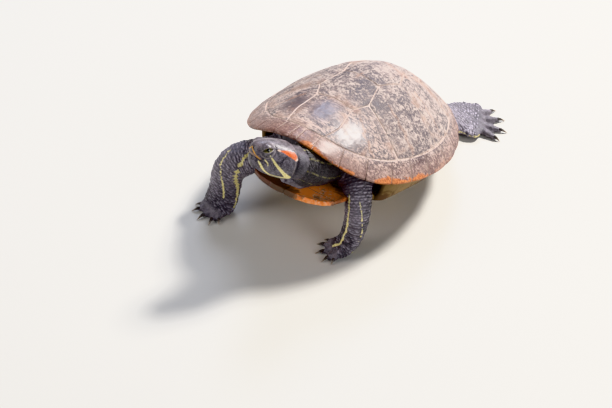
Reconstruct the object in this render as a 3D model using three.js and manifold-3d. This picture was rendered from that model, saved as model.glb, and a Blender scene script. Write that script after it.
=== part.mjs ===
// Red-eared slider turtle, life size, as a still display model.
// Millimetres, +Z up. The animal faces -Y and its left side is +X. The floor is z = 0 and the
// origin lies on it, under the middle of the whole animal. All places below count from the point
// of the floor under the middle of the shell, and the finished group is moved by SHELL_MIDDLE.
// The shell is drawn level in its own frame and then pitched up at the front, resting on the rear
// tips of the plastron, while both forelegs prop the front and the hind feet lie spread out.
import * as THREE from 'three';
import { mergeVertices } from 'three/addons/utils/BufferGeometryUtils.js';
import Module from 'manifold-3d';

const wasm = await Module();
wasm.setup();

// ---------------------------------------------------------------- driving dimensions (mm, degrees)
const SHELL_MIDDLE = [6.56, -3.98];   // from the origin, across and along
const SHELL_LENGTH = 200;
const SHELL_WIDTH = 158;
const CROWN_HEIGHT = 55;          // top of the dome above the plane of the rim
const CROWN_POWER = 1.85;         // how full the dome is between crown and rim
const CROWN_SHIFT = 9;            // crown lies this far behind the middle
const FRONT_ARCH = 26;            // rise of the rim over the neck
const FRONT_ARCH_POWER = 5;
const REAR_ARCH = 11;             // rise of the rim over the tail
const FRONT_FLARE = 0.06;         // front of the outline is this much fuller than an ellipse
const SHELL_PITCH = 18;           // front of the shell is tipped up by this angle
const RIM_HEIGHT = 51.5;          // middle of the rim plane above the floor
const SCUTE_THICKNESS = 4;
const RIM_DROP = 7;               // depth of the marginals' underside at its inner edge
const GAP = 0.3;                  // parting gap between neighbouring pieces
const VAULT_CLEARANCE = 2.5;      // between the trunk's back and the inside of the dome
const PLASTRON_TOP = -22;         // in the shell's frame, where the rim plane is zero
const PLASTRON_THICKNESS = 5;
const EYE_RADIUS = 5.2;

const HALF_LENGTH = SHELL_LENGTH / 2;
const HALF_WIDTH = SHELL_WIDTH / 2;
const FULL_TURN = 2 * Math.PI;
const rad = THREE.MathUtils.degToRad;

// Shares of the plan radius, from 0 at the crown to 1 on the rim.
const SEAM_RING = 0.875;          // seam between costals and marginals
const INNER_WALL = 0.86;          // inside face of the marginals
const BRIDGE_FOOT = 0.70;         // where the trunk meets the plastron under the bridges

// Angles of the seams between the marginals, from the nuchal to the tail.
const MARGINAL_SEAMS = [2.5, 12.5, 28, 43, 58, 70.5, 83, 99, 114, 129, 144, 161, 180];
// Outer ends, on the seam ring, of the seams that bound the costals.
const COSTAL_SEAMS = [14, 62.5, 96, 130, 162];
// Seams between the vertebrals and the corners between them, as [half width, y].
const VERTEBRAL_SEAMS = [[17, -45], [17, -9], [16, 31], [12, 64]];
const VERTEBRAL_CORNERS = [[21, -66], [23.5, -31], [24, 13], [21, 49], [16, 76]];

// Half outline of the plastron as [half width, y], from the front edge to the rear notch.
const PLASTRON_EDGE = [
  [0, -96], [13, -97], [26, -94], [34, -89], [38.5, -82], [41, -66], [44, -50], [56, -43],
  [57, -5], [56, 35], [43, 42], [43, 57], [38, 73], [28, 84], [13, 90], [0, 84],
];
const PLASTRON_BANDS = {
  gular: [-99, -78], humeral: [-78, -56], pectoral: [-56, -24],
  abdominal: [-24, 18], femoral: [18, 52], anal: [52, 92],
};
const BRIDGE_ROWS = [-45, -41, -24, -5, 14, 33];   // rows of points along each bridge, front to back
const BRIDGE_FOOT_HALF = 57.6;    // half the distance between the bridges' feet
const BRIDGE_THICKNESS = 3.2;
const BRIDGE_BULGE = 1.6;
const BRIDGE_CURL = 4;            // how far the front end turns in
const BRIDGE_CURL_START = -36;
const OVER_RIM = 1.06;            // a radius beyond the rim, for cutting
const DIGIT_SPREAD = 0.62;        // share of the foot's half width over which digits are rooted

// Head: pose, then stations [distance behind the snout, half width, top, bottom] in its own frame.
const HEAD_YAW = 37.5;            // turned to the animal's right
const HEAD_PITCH = 25.5;            // snout raised
const HEAD_ROLL = 20;             // crown leaning to the animal's right
const HEAD_SNOUT = new THREE.Vector3(-11.2, -126.25, 113.7);
const HEAD_STATIONS = [
  [0.0, 4.6, 5.4, -7.8], [1.0, 6.4, 7.3, -10.25], [3.0, 8.2, 8.8, -12.6], [6.5, 10.0, 10.3, -14.2],
  [11.0, 12.0, 11.5, -15.4], [16.0, 14.0, 12.2, -16.6], [23.0, 16.5, 12.3, -17.6],
  [30.0, 18.2, 11.7, -17.8], [38.5, 18.0, 9.6, -17.0], [46.0, 16.0, 7.8, -15.2],
];
const HEAD_SQUARENESS = 2.3;
const EYE_CENTRE = [7.8, 9.2, 4.2];   // sideways, behind the snout, up

// Neck and limbs: stations [x, y, z, half width, half thickness], from inside the trunk outward.
const NECK_STATIONS = [
  [4, -46, 66, 24, 20.5], [9, -62, 68.5, 21, 18], [13.5, -76, 75.5, 17.5, 16.5],
  [15, -86, 82.5, 16, 15.5], [12.5, -93.5, 89, 14.5, 14.5], [9, -101, 95, 12, 12.5],
];
const FORELEG_RIGHT = [
  [-24, -44, 54, 15, 13], [-42, -62, 50.5, 15, 12.5], [-58, -77, 46.5, 14.5, 12.5],
  [-65, -85, 37, 13.5, 10.5], [-67, -88, 20, 13, 8.5], [-68.5, -93, 7, 13.5, 6.2],
  [-70.5, -100, 4, 12.5, 4.7],
];
const FORELEG_LEFT = [
  [24, -40, 58, 14, 13], [37, -53, 55, 13, 12.5], [45.5, -62, 45, 11.2, 11.2],
  [48, -67.5, 30, 11, 10], [45.8, -72, 14, 11, 8.5], [42, -77, 6, 11.5, 5.8],
  [37.5, -81.5, 4, 11.5, 4.7],
];
const HINDLEG_LEFT = [
  [28, 44, 30, 16, 14], [32, 64, 25, 15, 13], [29, 84, 17, 14, 10.5],
  [28.3, 99.2, 10, 15, 8.6], [34.8, 110.4, 5.6, 21, 6.2], [44.3, 116.5, 4, 22, 4.6],
];
const HINDLEG_RIGHT = [
  [-28, 44, 30, 16, 14], [-40, 58, 25, 15, 13], [-48, 70, 17, 13.5, 10.5],
  [-53, 79, 10, 13.5, 8], [-60, 86, 5, 16.5, 5.4], [-69, 90, 3.6, 18, 4.2],
];
const TAIL_STATIONS = [
  [0, 62, 24, 10, 10], [-1, 78, 16, 8.5, 8], [-4, 93, 8, 6.5, 5.8],
  [-8, 106, 3.8, 4.2, 4.2], [-12.5, 116, 2.0, 1.6, 2.3],
];
// Digits: [angle from the foot's direction, reach of the skin, length of the claw].
const FORE_DIGITS = [[-54, 6, 4.5], [-27, 9, 6], [0, 10, 6.5], [27, 9, 6], [54, 6, 4.5]];
const HIND_DIGITS = [[-40, 12, 5], [-15, 16, 6], [12, 17, 6], [38, 13, 5]];
const HIND_DIGITS_LEFT = [[-34, 17, 5], [-14, 19, 6], [8, 17, 5.5], [32, 12.49, 5]];
const FORE_DIGIT_RADIUS = 3.1;
const HIND_DIGIT_RADIUS = 3.5;
const CLAW_TIP_RADIUS = 0.4;
const WEB_REACH = 0.9;            // share of a digit's reach that the web covers
const WEB_DIP = 0.12;             // how far the web's edge draws back between two digits
const WEB_THICKNESS = 1.8;
const WEB_HEIGHT = 0.6;

const COLOURS = {
  scute: 0x5a4c48, marginal: 0x66544c, plastron: 0xc9a45c, bridge: 0xb99a5a,
  skin: 0x2b2a30, head: 0x2e2c36, eye: 0x6b6a2a,
};

// ---------------------------------------------------------------- solids and geometry
// A closed three.js geometry as a solid for joins and cuts.
function toSolid(geometry) {
  const bare = geometry.clone();
  bare.deleteAttribute('normal');
  bare.deleteAttribute('uv');
  const merged = mergeVertices(bare, 1e-4);
  return new wasm.Manifold(new wasm.Mesh({
    numProp: 3,
    vertProperties: new Float32Array(merged.attributes.position.array),
    triVerts: new Uint32Array(merged.index.array),
  }));
}

function toGeometry(solid) {
  const mesh = solid.getMesh();
  const geometry = new THREE.BufferGeometry();
  geometry.setAttribute('position', new THREE.BufferAttribute(new Float32Array(mesh.vertProperties), 3));
  geometry.setIndex(new THREE.BufferAttribute(new Uint32Array(mesh.triVerts), 1));
  return geometry;
}

// The largest piece that a cut leaves, so that no crumb stays behind the shell.
function largest(solid) {
  return solid.decompose().reduce((best, piece) => (piece.volume() > best.volume() ? piece : best));
}

// Six times the signed volume, which is positive when the faces point outward.
function signedVolume(points, triangles) {
  let sum = 0;
  for (const [a, b, c] of triangles) {
    sum += points[a].dot(new THREE.Vector3().crossVectors(points[b], points[c]));
  }
  return sum;
}

function closedGeometry(points, triangles) {
  const outward = signedVolume(points, triangles) > 0;
  const ordered = triangles.map(([a, b, c]) => (outward ? [a, b, c] : [a, c, b]));
  const geometry = new THREE.BufferGeometry();
  geometry.setAttribute('position', new THREE.Float32BufferAttribute(points.flatMap((p) => p.toArray()), 3));
  geometry.setIndex(ordered.flat());
  return geometry;
}

// Rings of points closed round, with the first and last ring shrunk to a pole each.
function ringSolid(rings, startPole, endPole) {
  const sides = rings[0].length;
  const points = [startPole, ...rings.flat(), endPole];
  const last = points.length - 1;
  const at = (ring, side) => 1 + ring * sides + (side % sides);
  const triangles = [];
  for (let side = 0; side < sides; side += 1) {
    triangles.push([0, at(0, side + 1), at(0, side)]);
    triangles.push([last, at(rings.length - 1, side), at(rings.length - 1, side + 1)]);
    for (let ring = 0; ring + 1 < rings.length; ring += 1) {
      triangles.push([at(ring, side), at(ring, side + 1), at(ring + 1, side)]);
      triangles.push([at(ring, side + 1), at(ring + 1, side + 1), at(ring + 1, side)]);
    }
  }
  return closedGeometry(points, triangles);
}

// A curved plate between two grids of points, outer(u, v) and inner(u, v), with u and v from 0 to 1.
function plateSolid(outer, inner, uSteps, vSteps) {
  const points = [];
  const rows = (uSteps + 1) * (vSteps + 1);
  for (const face of [outer, inner]) {
    for (let i = 0; i <= uSteps; i += 1) {
      for (let j = 0; j <= vSteps; j += 1) points.push(face(i / uSteps, j / vSteps));
    }
  }
  const at = (side, i, j) => side * rows + i * (vSteps + 1) + j;
  const triangles = [];
  const quad = (a, b, c, d) => triangles.push([a, b, c], [a, c, d]);
  for (let i = 0; i < uSteps; i += 1) {
    for (let j = 0; j < vSteps; j += 1) {
      quad(at(0, i, j), at(0, i + 1, j), at(0, i + 1, j + 1), at(0, i, j + 1));
      quad(at(1, i, j), at(1, i, j + 1), at(1, i + 1, j + 1), at(1, i + 1, j));
    }
    quad(at(0, i, 0), at(1, i, 0), at(1, i + 1, 0), at(0, i + 1, 0));
    quad(at(0, i, vSteps), at(0, i + 1, vSteps), at(1, i + 1, vSteps), at(1, i, vSteps));
  }
  for (let j = 0; j < vSteps; j += 1) {
    quad(at(0, 0, j), at(0, 0, j + 1), at(1, 0, j + 1), at(1, 0, j));
    quad(at(0, uSteps, j), at(1, uSteps, j), at(1, uSteps, j + 1), at(0, uSteps, j + 1));
  }
  return closedGeometry(points, triangles);
}

// ---------------------------------------------------------------- the shell's surface
// Angle phi runs round the rim: 0 over the neck, 90 degrees at the left side, 180 over the tail.
function rimRise(phi) {
  const c = Math.cos(phi);
  return c > 0 ? FRONT_ARCH * c ** FRONT_ARCH_POWER : REAR_ARCH * c * c;
}

function planPoint(phi, rho) {
  const flare = 1 + FRONT_FLARE * Math.cos(phi);
  const x = HALF_WIDTH * Math.sin(phi) * flare * rho;
  const y = -HALF_LENGTH * Math.cos(phi) * rho + CROWN_SHIFT * (1 - rho * rho);
  return [x, y];
}

const domeHeight = (phi, rho) => rimRise(phi) * rho ** 3 + CROWN_HEIGHT * (1 - rho ** CROWN_POWER);

function domePoint(phi, rho, drop = 0) {
  const [x, y] = planPoint(phi, rho);
  return new THREE.Vector3(x, y, domeHeight(phi, rho) - drop);
}

// The whole carapace as one solid ring profile: dome, rim, underside, inner wall and vault.
function carapaceGeometry(grow = 0) {
  const COLUMNS = 32;
  const OUTER = [0.26, 0.48, 0.66, 0.8, 0.875, 0.94, 0.985];
  const VAULT = [0.64, 0.34];
  const noseOut = 1.012;
  const thickness = SCUTE_THICKNESS + grow;
  const rings = [];
  const ring = (make) => rings.push(Array.from({ length: COLUMNS }, (_, k) => make((k / COLUMNS) * FULL_TURN)));
  for (const rho of OUTER) ring((phi) => domePoint(phi, rho, -grow));
  ring((phi) => domePoint(phi, noseOut, 1.4));
  ring((phi) => domePoint(phi, 0.985, 4.4 + grow));
  ring((phi) => {
    const [x, y] = planPoint(phi, INNER_WALL);
    return new THREE.Vector3(x, y, rimRise(phi) - RIM_DROP - grow);
  });
  ring((phi) => domePoint(phi, INNER_WALL - grow / HALF_WIDTH, thickness));
  for (const rho of VAULT) ring((phi) => domePoint(phi, rho, thickness));
  return ringSolid(rings, domePoint(0, 0, -grow), domePoint(0, 0, thickness));
}

// The soft trunk inside the shell, drawn back at the neck, leg and tail openings.
function trunkEdge(phi) {
  const c = Math.cos(phi);
  const front = THREE.MathUtils.smoothstep(c, 0.35, 0.8);
  const rear = THREE.MathUtils.smoothstep(-c, 0.45, 0.85);
  return 0.852 - 0.11 * front - 0.05 * rear;
}

function trunkGeometry(grow = 0) {
  const COLUMNS = 26;
  const floor = PLASTRON_TOP + GAP - grow;
  const roofDrop = SCUTE_THICKNESS + VAULT_CLEARANCE - grow;
  const outset = grow / HALF_WIDTH;
  const rings = [];
  const ring = (make) => rings.push(Array.from({ length: COLUMNS }, (_, k) => make((k / COLUMNS) * FULL_TURN)));
  const level = (phi, rho, z) => new THREE.Vector3(...planPoint(phi, rho + outset), z);
  for (const share of [0.4, 0.8]) ring((phi) => domePoint(phi, trunkEdge(phi) * share, roofDrop));
  ring((phi) => domePoint(phi, trunkEdge(phi) + outset, roofDrop));
  ring((phi) => level(phi, trunkEdge(phi), rimRise(phi) * 0.5 - RIM_DROP + 2));
  ring((phi) => level(phi, Math.min(trunkEdge(phi), 0.78), -12));
  ring((phi) => level(phi, BRIDGE_FOOT - 0.03, floor));
  return ringSolid(rings, domePoint(0, 0, roofDrop), new THREE.Vector3(0, CROWN_SHIFT, floor));
}

// ---------------------------------------------------------------- seams and scutes
// An outline moved inward by half the parting gap, edge by edge.
function inset(outline, distance) {
  const points = outline.map(([x, y]) => new THREE.Vector2(x, y));
  if (THREE.ShapeUtils.area(points) < 0) points.reverse();
  const count = points.length;
  const edges = points.map((p, k) => {
    const along = points[(k + 1) % count].clone().sub(p).normalize();
    const inward = new THREE.Vector2(-along.y, along.x);
    return { start: p.clone().addScaledVector(inward, distance), along };
  });
  return edges.map((edge, k) => {
    const before = edges[(k + count - 1) % count];
    const cross = before.along.cross(edge.along);
    if (Math.abs(cross) < 1e-6) return edge.start;
    const reach = edge.start.clone().sub(before.start).cross(edge.along) / cross;
    return before.start.clone().addScaledVector(before.along, reach);
  });
}

// A tall upright prism on a plan outline, for cutting one scute out of the whole.
function prism(outline, low, high) {
  const geometry = new THREE.ExtrudeGeometry(new THREE.Shape(inset(outline, GAP / 2)), {
    depth: high - low, bevelEnabled: false, steps: 1,
  });
  return toSolid(geometry.translate(0, 0, low));
}

// Points along the seam ring, or the rim, between two angles in degrees.
function arc(from, to, rho, steps) {
  return Array.from({ length: steps + 1 }, (_, k) => planPoint(rad(from + ((to - from) * k) / steps), rho));
}

const mirrored = (outline) => outline.map(([x, y]) => [-x, y]).reverse();

function costalOutline(k) {
  const outer = arc(COSTAL_SEAMS[k], COSTAL_SEAMS[k + 1], SEAM_RING, 5);
  const back = VERTEBRAL_CORNERS[k + 1];
  const front = VERTEBRAL_CORNERS[k];
  const seam = VERTEBRAL_SEAMS[k];
  return [...outer, back, seam, front];
}

function vertebralOutline(k) {
  const halfRight = [];
  if (k === 0) halfRight.push(...arc(0, COSTAL_SEAMS[0], SEAM_RING, 2));
  else halfRight.push(VERTEBRAL_SEAMS[k - 1]);
  halfRight.push(VERTEBRAL_CORNERS[k]);
  if (k === 4) halfRight.push(...arc(COSTAL_SEAMS[4], 180, SEAM_RING, 3));
  else halfRight.push(VERTEBRAL_SEAMS[k]);
  const left = halfRight.filter(([x]) => x > 1e-6).map(([x, y]) => [-x, y]).reverse();
  return [...halfRight, ...left];
}

function marginalOutline(k) {
  const [from, to] = [MARGINAL_SEAMS[k], MARGINAL_SEAMS[k + 1]];
  return [...arc(from, to, OVER_RIM, 2), ...arc(to, from, SEAM_RING, 2)];
}

function nuchalOutline() {
  const half = MARGINAL_SEAMS[0];
  return [...arc(-half, half, OVER_RIM, 2), ...arc(half, -half, SEAM_RING, 2)];
}

// ---------------------------------------------------------------- plastron and bridges
function plastronSlab() {
  const right = PLASTRON_EDGE.slice(1, -1).map(([x, y]) => [-x, y]).reverse();
  const outline = [...PLASTRON_EDGE, ...right].map(([x, y]) => new THREE.Vector2(x, y));
  const bevel = 1.2;
  const geometry = new THREE.ExtrudeGeometry(new THREE.Shape(outline), {
    depth: PLASTRON_THICKNESS - 2 * bevel, bevelEnabled: true, bevelThickness: bevel,
    bevelSize: bevel, bevelOffset: -bevel, bevelSegments: 1, steps: 1,
  });
  return toSolid(geometry.translate(0, 0, PLASTRON_TOP - PLASTRON_THICKNESS + bevel));
}

// The plastron with its gap, as a block that keeps other pieces off it.
function plastronBlockGeometry() {
  const right = PLASTRON_EDGE.slice(1, -1).map(([x, y]) => [-x, y]).reverse();
  const outline = inset([...PLASTRON_EDGE, ...right], -GAP);
  const geometry = new THREE.ExtrudeGeometry(new THREE.Shape(outline), {
    depth: PLASTRON_THICKNESS + 2 * GAP, bevelEnabled: false, steps: 1,
  });
  return geometry.translate(0, 0, PLASTRON_TOP - PLASTRON_THICKNESS - GAP);
}

function plastronBand([front, back]) {
  const half = HALF_WIDTH;
  return prism([[-half, front], [half, front], [half, back], [-half, back]], -60, 0);
}

// A bridge joins the side of the plastron to the underside of the marginals.
function bridgeGeometry(side) {
  const footZ = PLASTRON_TOP - PLASTRON_THICKNESS + 1;
  const last = BRIDGE_ROWS.length - 1;
  const surface = (inward) => (u, v) => {
    const y = BRIDGE_ROWS[Math.round(u * last)];
    const phi = Math.acos(THREE.MathUtils.clamp(-y / (HALF_LENGTH * 0.9), -1, 1));
    const [topX] = planPoint(phi, 0.9);
    const topZ = rimRise(phi) - RIM_DROP - 0.8;
    const bulge = Math.sin(Math.PI * v) * BRIDGE_BULGE;
    const turned = Math.max(0, (BRIDGE_CURL_START - y) / (BRIDGE_CURL_START - BRIDGE_ROWS[0]));
    const curl = BRIDGE_CURL * turned ** 2;
    const x = BRIDGE_FOOT_HALF + (topX - BRIDGE_FOOT_HALF) * v + bulge - inward - curl;
    const z = footZ + (topZ - footZ) * v - bulge + inward * 0.4 * (1 - v);
    return new THREE.Vector3(side * x, y, z);
  };
  return plateSolid(surface(0), surface(BRIDGE_THICKNESS), last, 3);
}

// ---------------------------------------------------------------- soft parts
// A smooth run through stations, sampled so that centre and half sizes stay in step.
function sampleStations(stations, steps) {
  const centre = new THREE.CatmullRomCurve3(
    stations.map(([x, y, z]) => new THREE.Vector3(x, y, z)), false, 'catmullrom');
  const sizes = new THREE.CatmullRomCurve3(
    stations.map(([, , , wide, thick]) => new THREE.Vector3(wide, thick, 0)), false, 'catmullrom');
  return Array.from({ length: steps + 1 }, (_, k) => {
    const t = k / steps;
    const size = sizes.getPoint(t);
    return { at: centre.getPoint(t), along: centre.getTangent(t), wide: size.x, thick: size.y };
  });
}

// An elliptical body along stations. sideways is the direction in which it is widest.
function limbGeometry(stations, sideways, { steps, sides }) {
  const samples = sampleStations(stations, steps);
  const tip = samples[steps];
  for (const turn of [rad(35), rad(65)]) {
    samples.push({
      at: tip.at.clone().addScaledVector(tip.along, tip.thick * Math.sin(turn)), along: tip.along,
      wide: tip.wide * Math.cos(turn), thick: tip.thick * Math.cos(turn),
    });
  }
  const rings = samples.map(({ at, along, wide, thick }) => {
    const side = sideways.clone().addScaledVector(along, -sideways.dot(along)).normalize();
    const over = new THREE.Vector3().crossVectors(side, along).normalize();
    return Array.from({ length: sides }, (_, k) => {
      const turn = (k / sides) * FULL_TURN;
      return at.clone().addScaledVector(side, wide * Math.cos(turn)).addScaledVector(over, thick * Math.sin(turn));
    });
  });
  const endPole = tip.at.clone().addScaledVector(tip.along, tip.thick);
  return ringSolid(rings, samples[0].at.clone(), endPole);
}

// One digit with its claw, reaching out and down from the foot to the floor.
function digitGeometry(root, direction, reach, claw, radius) {
  const down = (height) => new THREE.Vector3(0, 0, height);
  const out = (distance) => root.clone().addScaledVector(direction, distance).setZ(0);
  const stations = [
    [0, root.z, radius], [reach * 0.8, radius * 0.95, radius * 0.85],
    [reach + claw * 0.1, radius * 0.75, radius * 0.45], [reach + claw, CLAW_TIP_RADIUS + 0.1, CLAW_TIP_RADIUS],
  ];
  const across = new THREE.Vector3(-direction.y, direction.x, 0);
  const SIDES = 5;
  const rings = stations.map(([distance, height, size]) => Array.from({ length: SIDES }, (_, k) => {
    const turn = (k / SIDES) * FULL_TURN;
    const centre = out(distance).add(down(height));
    return centre.addScaledVector(across, size * Math.cos(turn)).add(down(size * Math.sin(turn)));
  }));
  const [, tipHeight] = stations[stations.length - 1];
  return ringSolid(rings, root.clone(), out(reach + claw + CLAW_TIP_RADIUS).add(down(tipHeight)));
}

// Digits fanned out from the last station of a limb, with a web between them.
function footDigits(stations, digits, radius) {
  const [x, y, z, wide] = stations[stations.length - 1];
  const [px, py] = stations[stations.length - 2];
  const heading = Math.atan2(y - py, x - px);
  const rays = digits.map(([angle, reach, claw]) => {
    const spread = wide * DIGIT_SPREAD * Math.sin(rad(angle * 1.25));
    const direction = new THREE.Vector3(Math.cos(heading + rad(angle)), Math.sin(heading + rad(angle)), 0);
    const root = new THREE.Vector3(x - spread * Math.sin(heading), y + spread * Math.cos(heading), z - 0.4);
    return { root, direction, reach, claw };
  });
  const web = [new THREE.Vector2(x, y)];
  rays.forEach(({ root, direction, reach }, k) => {
    const end = root.clone().addScaledVector(direction, reach * WEB_REACH);
    const next = rays[k + 1];
    web.push(new THREE.Vector2(end.x, end.y));
    if (!next) return;
    const nextEnd = next.root.clone().addScaledVector(next.direction, next.reach * WEB_REACH);
    const dip = end.lerp(nextEnd, 0.5).lerp(new THREE.Vector3(x, y, 0), WEB_DIP);
    web.push(new THREE.Vector2(dip.x, dip.y));
  });
  const sheet = new THREE.ExtrudeGeometry(new THREE.Shape(web), { depth: WEB_THICKNESS, bevelEnabled: false });
  const parts = rays.map((r) => toSolid(digitGeometry(r.root, r.direction, r.reach, r.claw, radius)));
  return [...parts, toSolid(sheet.translate(0, 0, WEB_HEIGHT))];
}

const superTurn = (value) => Math.sign(value) * Math.abs(value) ** (2 / HEAD_SQUARENESS);

// The head in its own frame: snout at the origin, +Y backward, +Z up, +X its left.
function headGeometry(grow = 0) {
  const SIDES = 12;
  const curves = [1, 2, 3].map((column) => new THREE.CatmullRomCurve3(
    HEAD_STATIONS.map((s) => new THREE.Vector3(s[0], s[column], 0)), false, 'catmullrom'));
  const STEPS = 12;
  const rings = Array.from({ length: STEPS + 1 }, (_, k) => {
    const [wide, top, bottom] = curves.map((curve) => curve.getPoint(k / STEPS));
    return Array.from({ length: SIDES }, (__, side) => {
      const turn = (side / SIDES) * FULL_TURN;
      const up = Math.sin(turn);
      const height = up > 0 ? top.y + grow : -(bottom.y - grow);
      return new THREE.Vector3((wide.y + grow) * superTurn(Math.cos(turn)), wide.x, height * superTurn(up));
    });
  });
  const last = HEAD_STATIONS[HEAD_STATIONS.length - 1];
  return ringSolid(rings, new THREE.Vector3(0, -0.6 - grow, -0.6), new THREE.Vector3(0, last[0] + 1 + grow, -1));
}

function eyeGeometry(side, grow = 0) {
  const [x, y, z] = EYE_CENTRE;
  return new THREE.SphereGeometry(EYE_RADIUS + grow, 12, 6).translate(side * x, y, z);
}

// ---------------------------------------------------------------- poses of shell and head
const shellPose = new THREE.Matrix4().makeRotationX(rad(-SHELL_PITCH)).setPosition(0, 0, RIM_HEIGHT);
const headPose = new THREE.Matrix4().makeRotationZ(rad(-HEAD_YAW))
  .multiply(new THREE.Matrix4().makeRotationX(rad(-HEAD_PITCH)))
  .multiply(new THREE.Matrix4().makeRotationY(rad(-HEAD_ROLL))).setPosition(HEAD_SNOUT);

const placed = (geometry, pose) => toSolid(geometry.clone().applyMatrix4(pose));
const underFloor = new THREE.BoxGeometry(500, 500, 100).translate(0, 0, -50);

const group = new THREE.Group();
const shell = new THREE.Group();
shell.rotation.x = rad(-SHELL_PITCH);
shell.position.z = RIM_HEIGHT;
const head = new THREE.Group();
head.rotation.set(rad(-HEAD_PITCH), rad(-HEAD_ROLL), rad(-HEAD_YAW), 'ZXY');
head.position.copy(HEAD_SNOUT);
group.add(shell, head);
group.position.set(...SHELL_MIDDLE, 0);

function add(parent, name, geometry, colour, roughness) {
  const material = new THREE.MeshStandardMaterial({ color: colour, roughness, metalness: 0 });
  const mesh = new THREE.Mesh(geometry, material);
  mesh.name = name;
  parent.add(mesh);
}

// ---------------------------------------------------------------- assembly: shell
const carapace = toSolid(carapaceGeometry());
const cutScute = (outline) => toGeometry(carapace.intersect(prism(outline, -60, 90)));
const SCUTE_ROUGHNESS = 0.35;

add(shell, 'nuchal', cutScute(nuchalOutline()), COLOURS.marginal, SCUTE_ROUGHNESS);
for (let k = 0; k < 5; k += 1) {
  add(shell, `vertebral_${k + 1}`, cutScute(vertebralOutline(k)), COLOURS.scute, SCUTE_ROUGHNESS);
}
for (let k = 0; k < 4; k += 1) {
  const outline = costalOutline(k);
  add(shell, `costal_left_${k + 1}`, cutScute(outline), COLOURS.scute, SCUTE_ROUGHNESS);
  add(shell, `costal_right_${k + 1}`, cutScute(mirrored(outline)), COLOURS.scute, SCUTE_ROUGHNESS);
}
for (let k = 0; k < 12; k += 1) {
  const outline = marginalOutline(k);
  add(shell, `marginal_left_${k + 1}`, cutScute(outline), COLOURS.marginal, SCUTE_ROUGHNESS);
  add(shell, `marginal_right_${k + 1}`, cutScute(mirrored(outline)), COLOURS.marginal, SCUTE_ROUGHNESS);
}

const plastron = plastronSlab();
const shellToFloor = shellPose.clone().invert();
const floorInShell = placed(underFloor, shellToFloor);
for (const [name, band] of Object.entries(PLASTRON_BANDS)) {
  const plate = plastron.intersect(plastronBand(band)).subtract(floorInShell);
  add(shell, `plastron_${name}`, toGeometry(plate), COLOURS.plastron, 0.4);
}
const obstacles = [trunkGeometry(GAP), carapaceGeometry(GAP), plastronBlockGeometry()];
for (const [name, side] of [['bridge_left', 1], ['bridge_right', -1]]) {
  const whole = toSolid(bridgeGeometry(side));
  const fitted = obstacles.reduce((rest, other) => rest.subtract(toSolid(other)), whole);
  add(shell, name, toGeometry(largest(fitted)), COLOURS.bridge, 0.4);
}
add(shell, 'trunk', trunkGeometry(), COLOURS.skin, 0.7);

// ---------------------------------------------------------------- assembly: head, neck, limbs, tail
const eyes = [1, -1].map((side) => toSolid(eyeGeometry(side, GAP)));
const skull = toSolid(headGeometry());
add(head, 'head', toGeometry(skull.subtract(eyes[0]).subtract(eyes[1])), COLOURS.head, 0.45);
add(head, 'eye_left', eyeGeometry(1), COLOURS.eye, 0.1);
add(head, 'eye_right', eyeGeometry(-1), COLOURS.eye, 0.1);

const clearOf = obstacles.map((geometry) => placed(geometry, shellPose));
const floorBlock = toSolid(underFloor);
function trimmed(solid) {
  return clearOf.reduce((rest, other) => rest.subtract(other), solid).subtract(floorBlock);
}

const across = new THREE.Vector3(1, 0, 0);
const NECK_SHAPE = { steps: 7, sides: 12 };
const LIMB_SHAPE = { steps: 10, sides: 10 };
const TAIL_SHAPE = { steps: 8, sides: 8 };
const neck = toSolid(limbGeometry(NECK_STATIONS, across, NECK_SHAPE));
const roomyNeck = NECK_STATIONS.map(([x, y, z, wide, thick]) => [x, y, z, wide + GAP, thick + GAP]);
const neckRoom = toSolid(limbGeometry(roomyNeck, across, NECK_SHAPE));
const headRoom = placed(headGeometry(GAP), headPose);
add(group, 'neck', toGeometry(largest(trimmed(neck).subtract(headRoom))), COLOURS.skin, 0.6);

const LIMBS = {
  foreleg_right: [FORELEG_RIGHT, new THREE.Vector3(0.92, 0.35, 0.1), FORE_DIGITS, FORE_DIGIT_RADIUS],
  foreleg_left: [FORELEG_LEFT, new THREE.Vector3(0.8, -0.6, 0), FORE_DIGITS, FORE_DIGIT_RADIUS],
  hindleg_left: [HINDLEG_LEFT, new THREE.Vector3(0.6, -0.8, 0), HIND_DIGITS_LEFT, HIND_DIGIT_RADIUS],
  hindleg_right: [HINDLEG_RIGHT, new THREE.Vector3(-0.8, -0.6, 0), HIND_DIGITS, HIND_DIGIT_RADIUS],
};
for (const [name, [stations, sideways, digits, radius]] of Object.entries(LIMBS)) {
  const limb = toSolid(limbGeometry(stations, sideways, LIMB_SHAPE));
  const whole = footDigits(stations, digits, radius).reduce((body, digit) => body.add(digit), limb);
  add(group, name, toGeometry(largest(trimmed(whole).subtract(neckRoom))), COLOURS.skin, 0.6);
}
const tail = toSolid(limbGeometry(TAIL_STATIONS, across, TAIL_SHAPE));
add(group, 'tail', toGeometry(largest(trimmed(tail))), COLOURS.skin, 0.6);

export default group;
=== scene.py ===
"""Still model of a red-eared slider: horn plates, skin, scales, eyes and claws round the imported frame."""
import math

import bpy
import numpy as np
from bpy.props import FloatProperty, FloatVectorProperty, PointerProperty
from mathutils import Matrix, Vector


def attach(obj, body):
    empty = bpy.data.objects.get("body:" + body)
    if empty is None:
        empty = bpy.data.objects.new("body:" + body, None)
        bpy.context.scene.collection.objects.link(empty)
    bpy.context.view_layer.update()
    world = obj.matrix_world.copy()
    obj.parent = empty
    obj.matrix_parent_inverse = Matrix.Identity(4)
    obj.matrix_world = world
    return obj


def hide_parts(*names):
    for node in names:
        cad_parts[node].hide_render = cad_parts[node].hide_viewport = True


bl_info = {
    "name": "Red-eared slider model",
    "version": (1, 0, 0),
    "blender": (4, 5, 0),
    "location": "View3D > Sidebar > Turtle",
    "description": "Builds the finished surfaces of a life-size slider turtle round its frame",
    "category": "Object",
}

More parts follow.
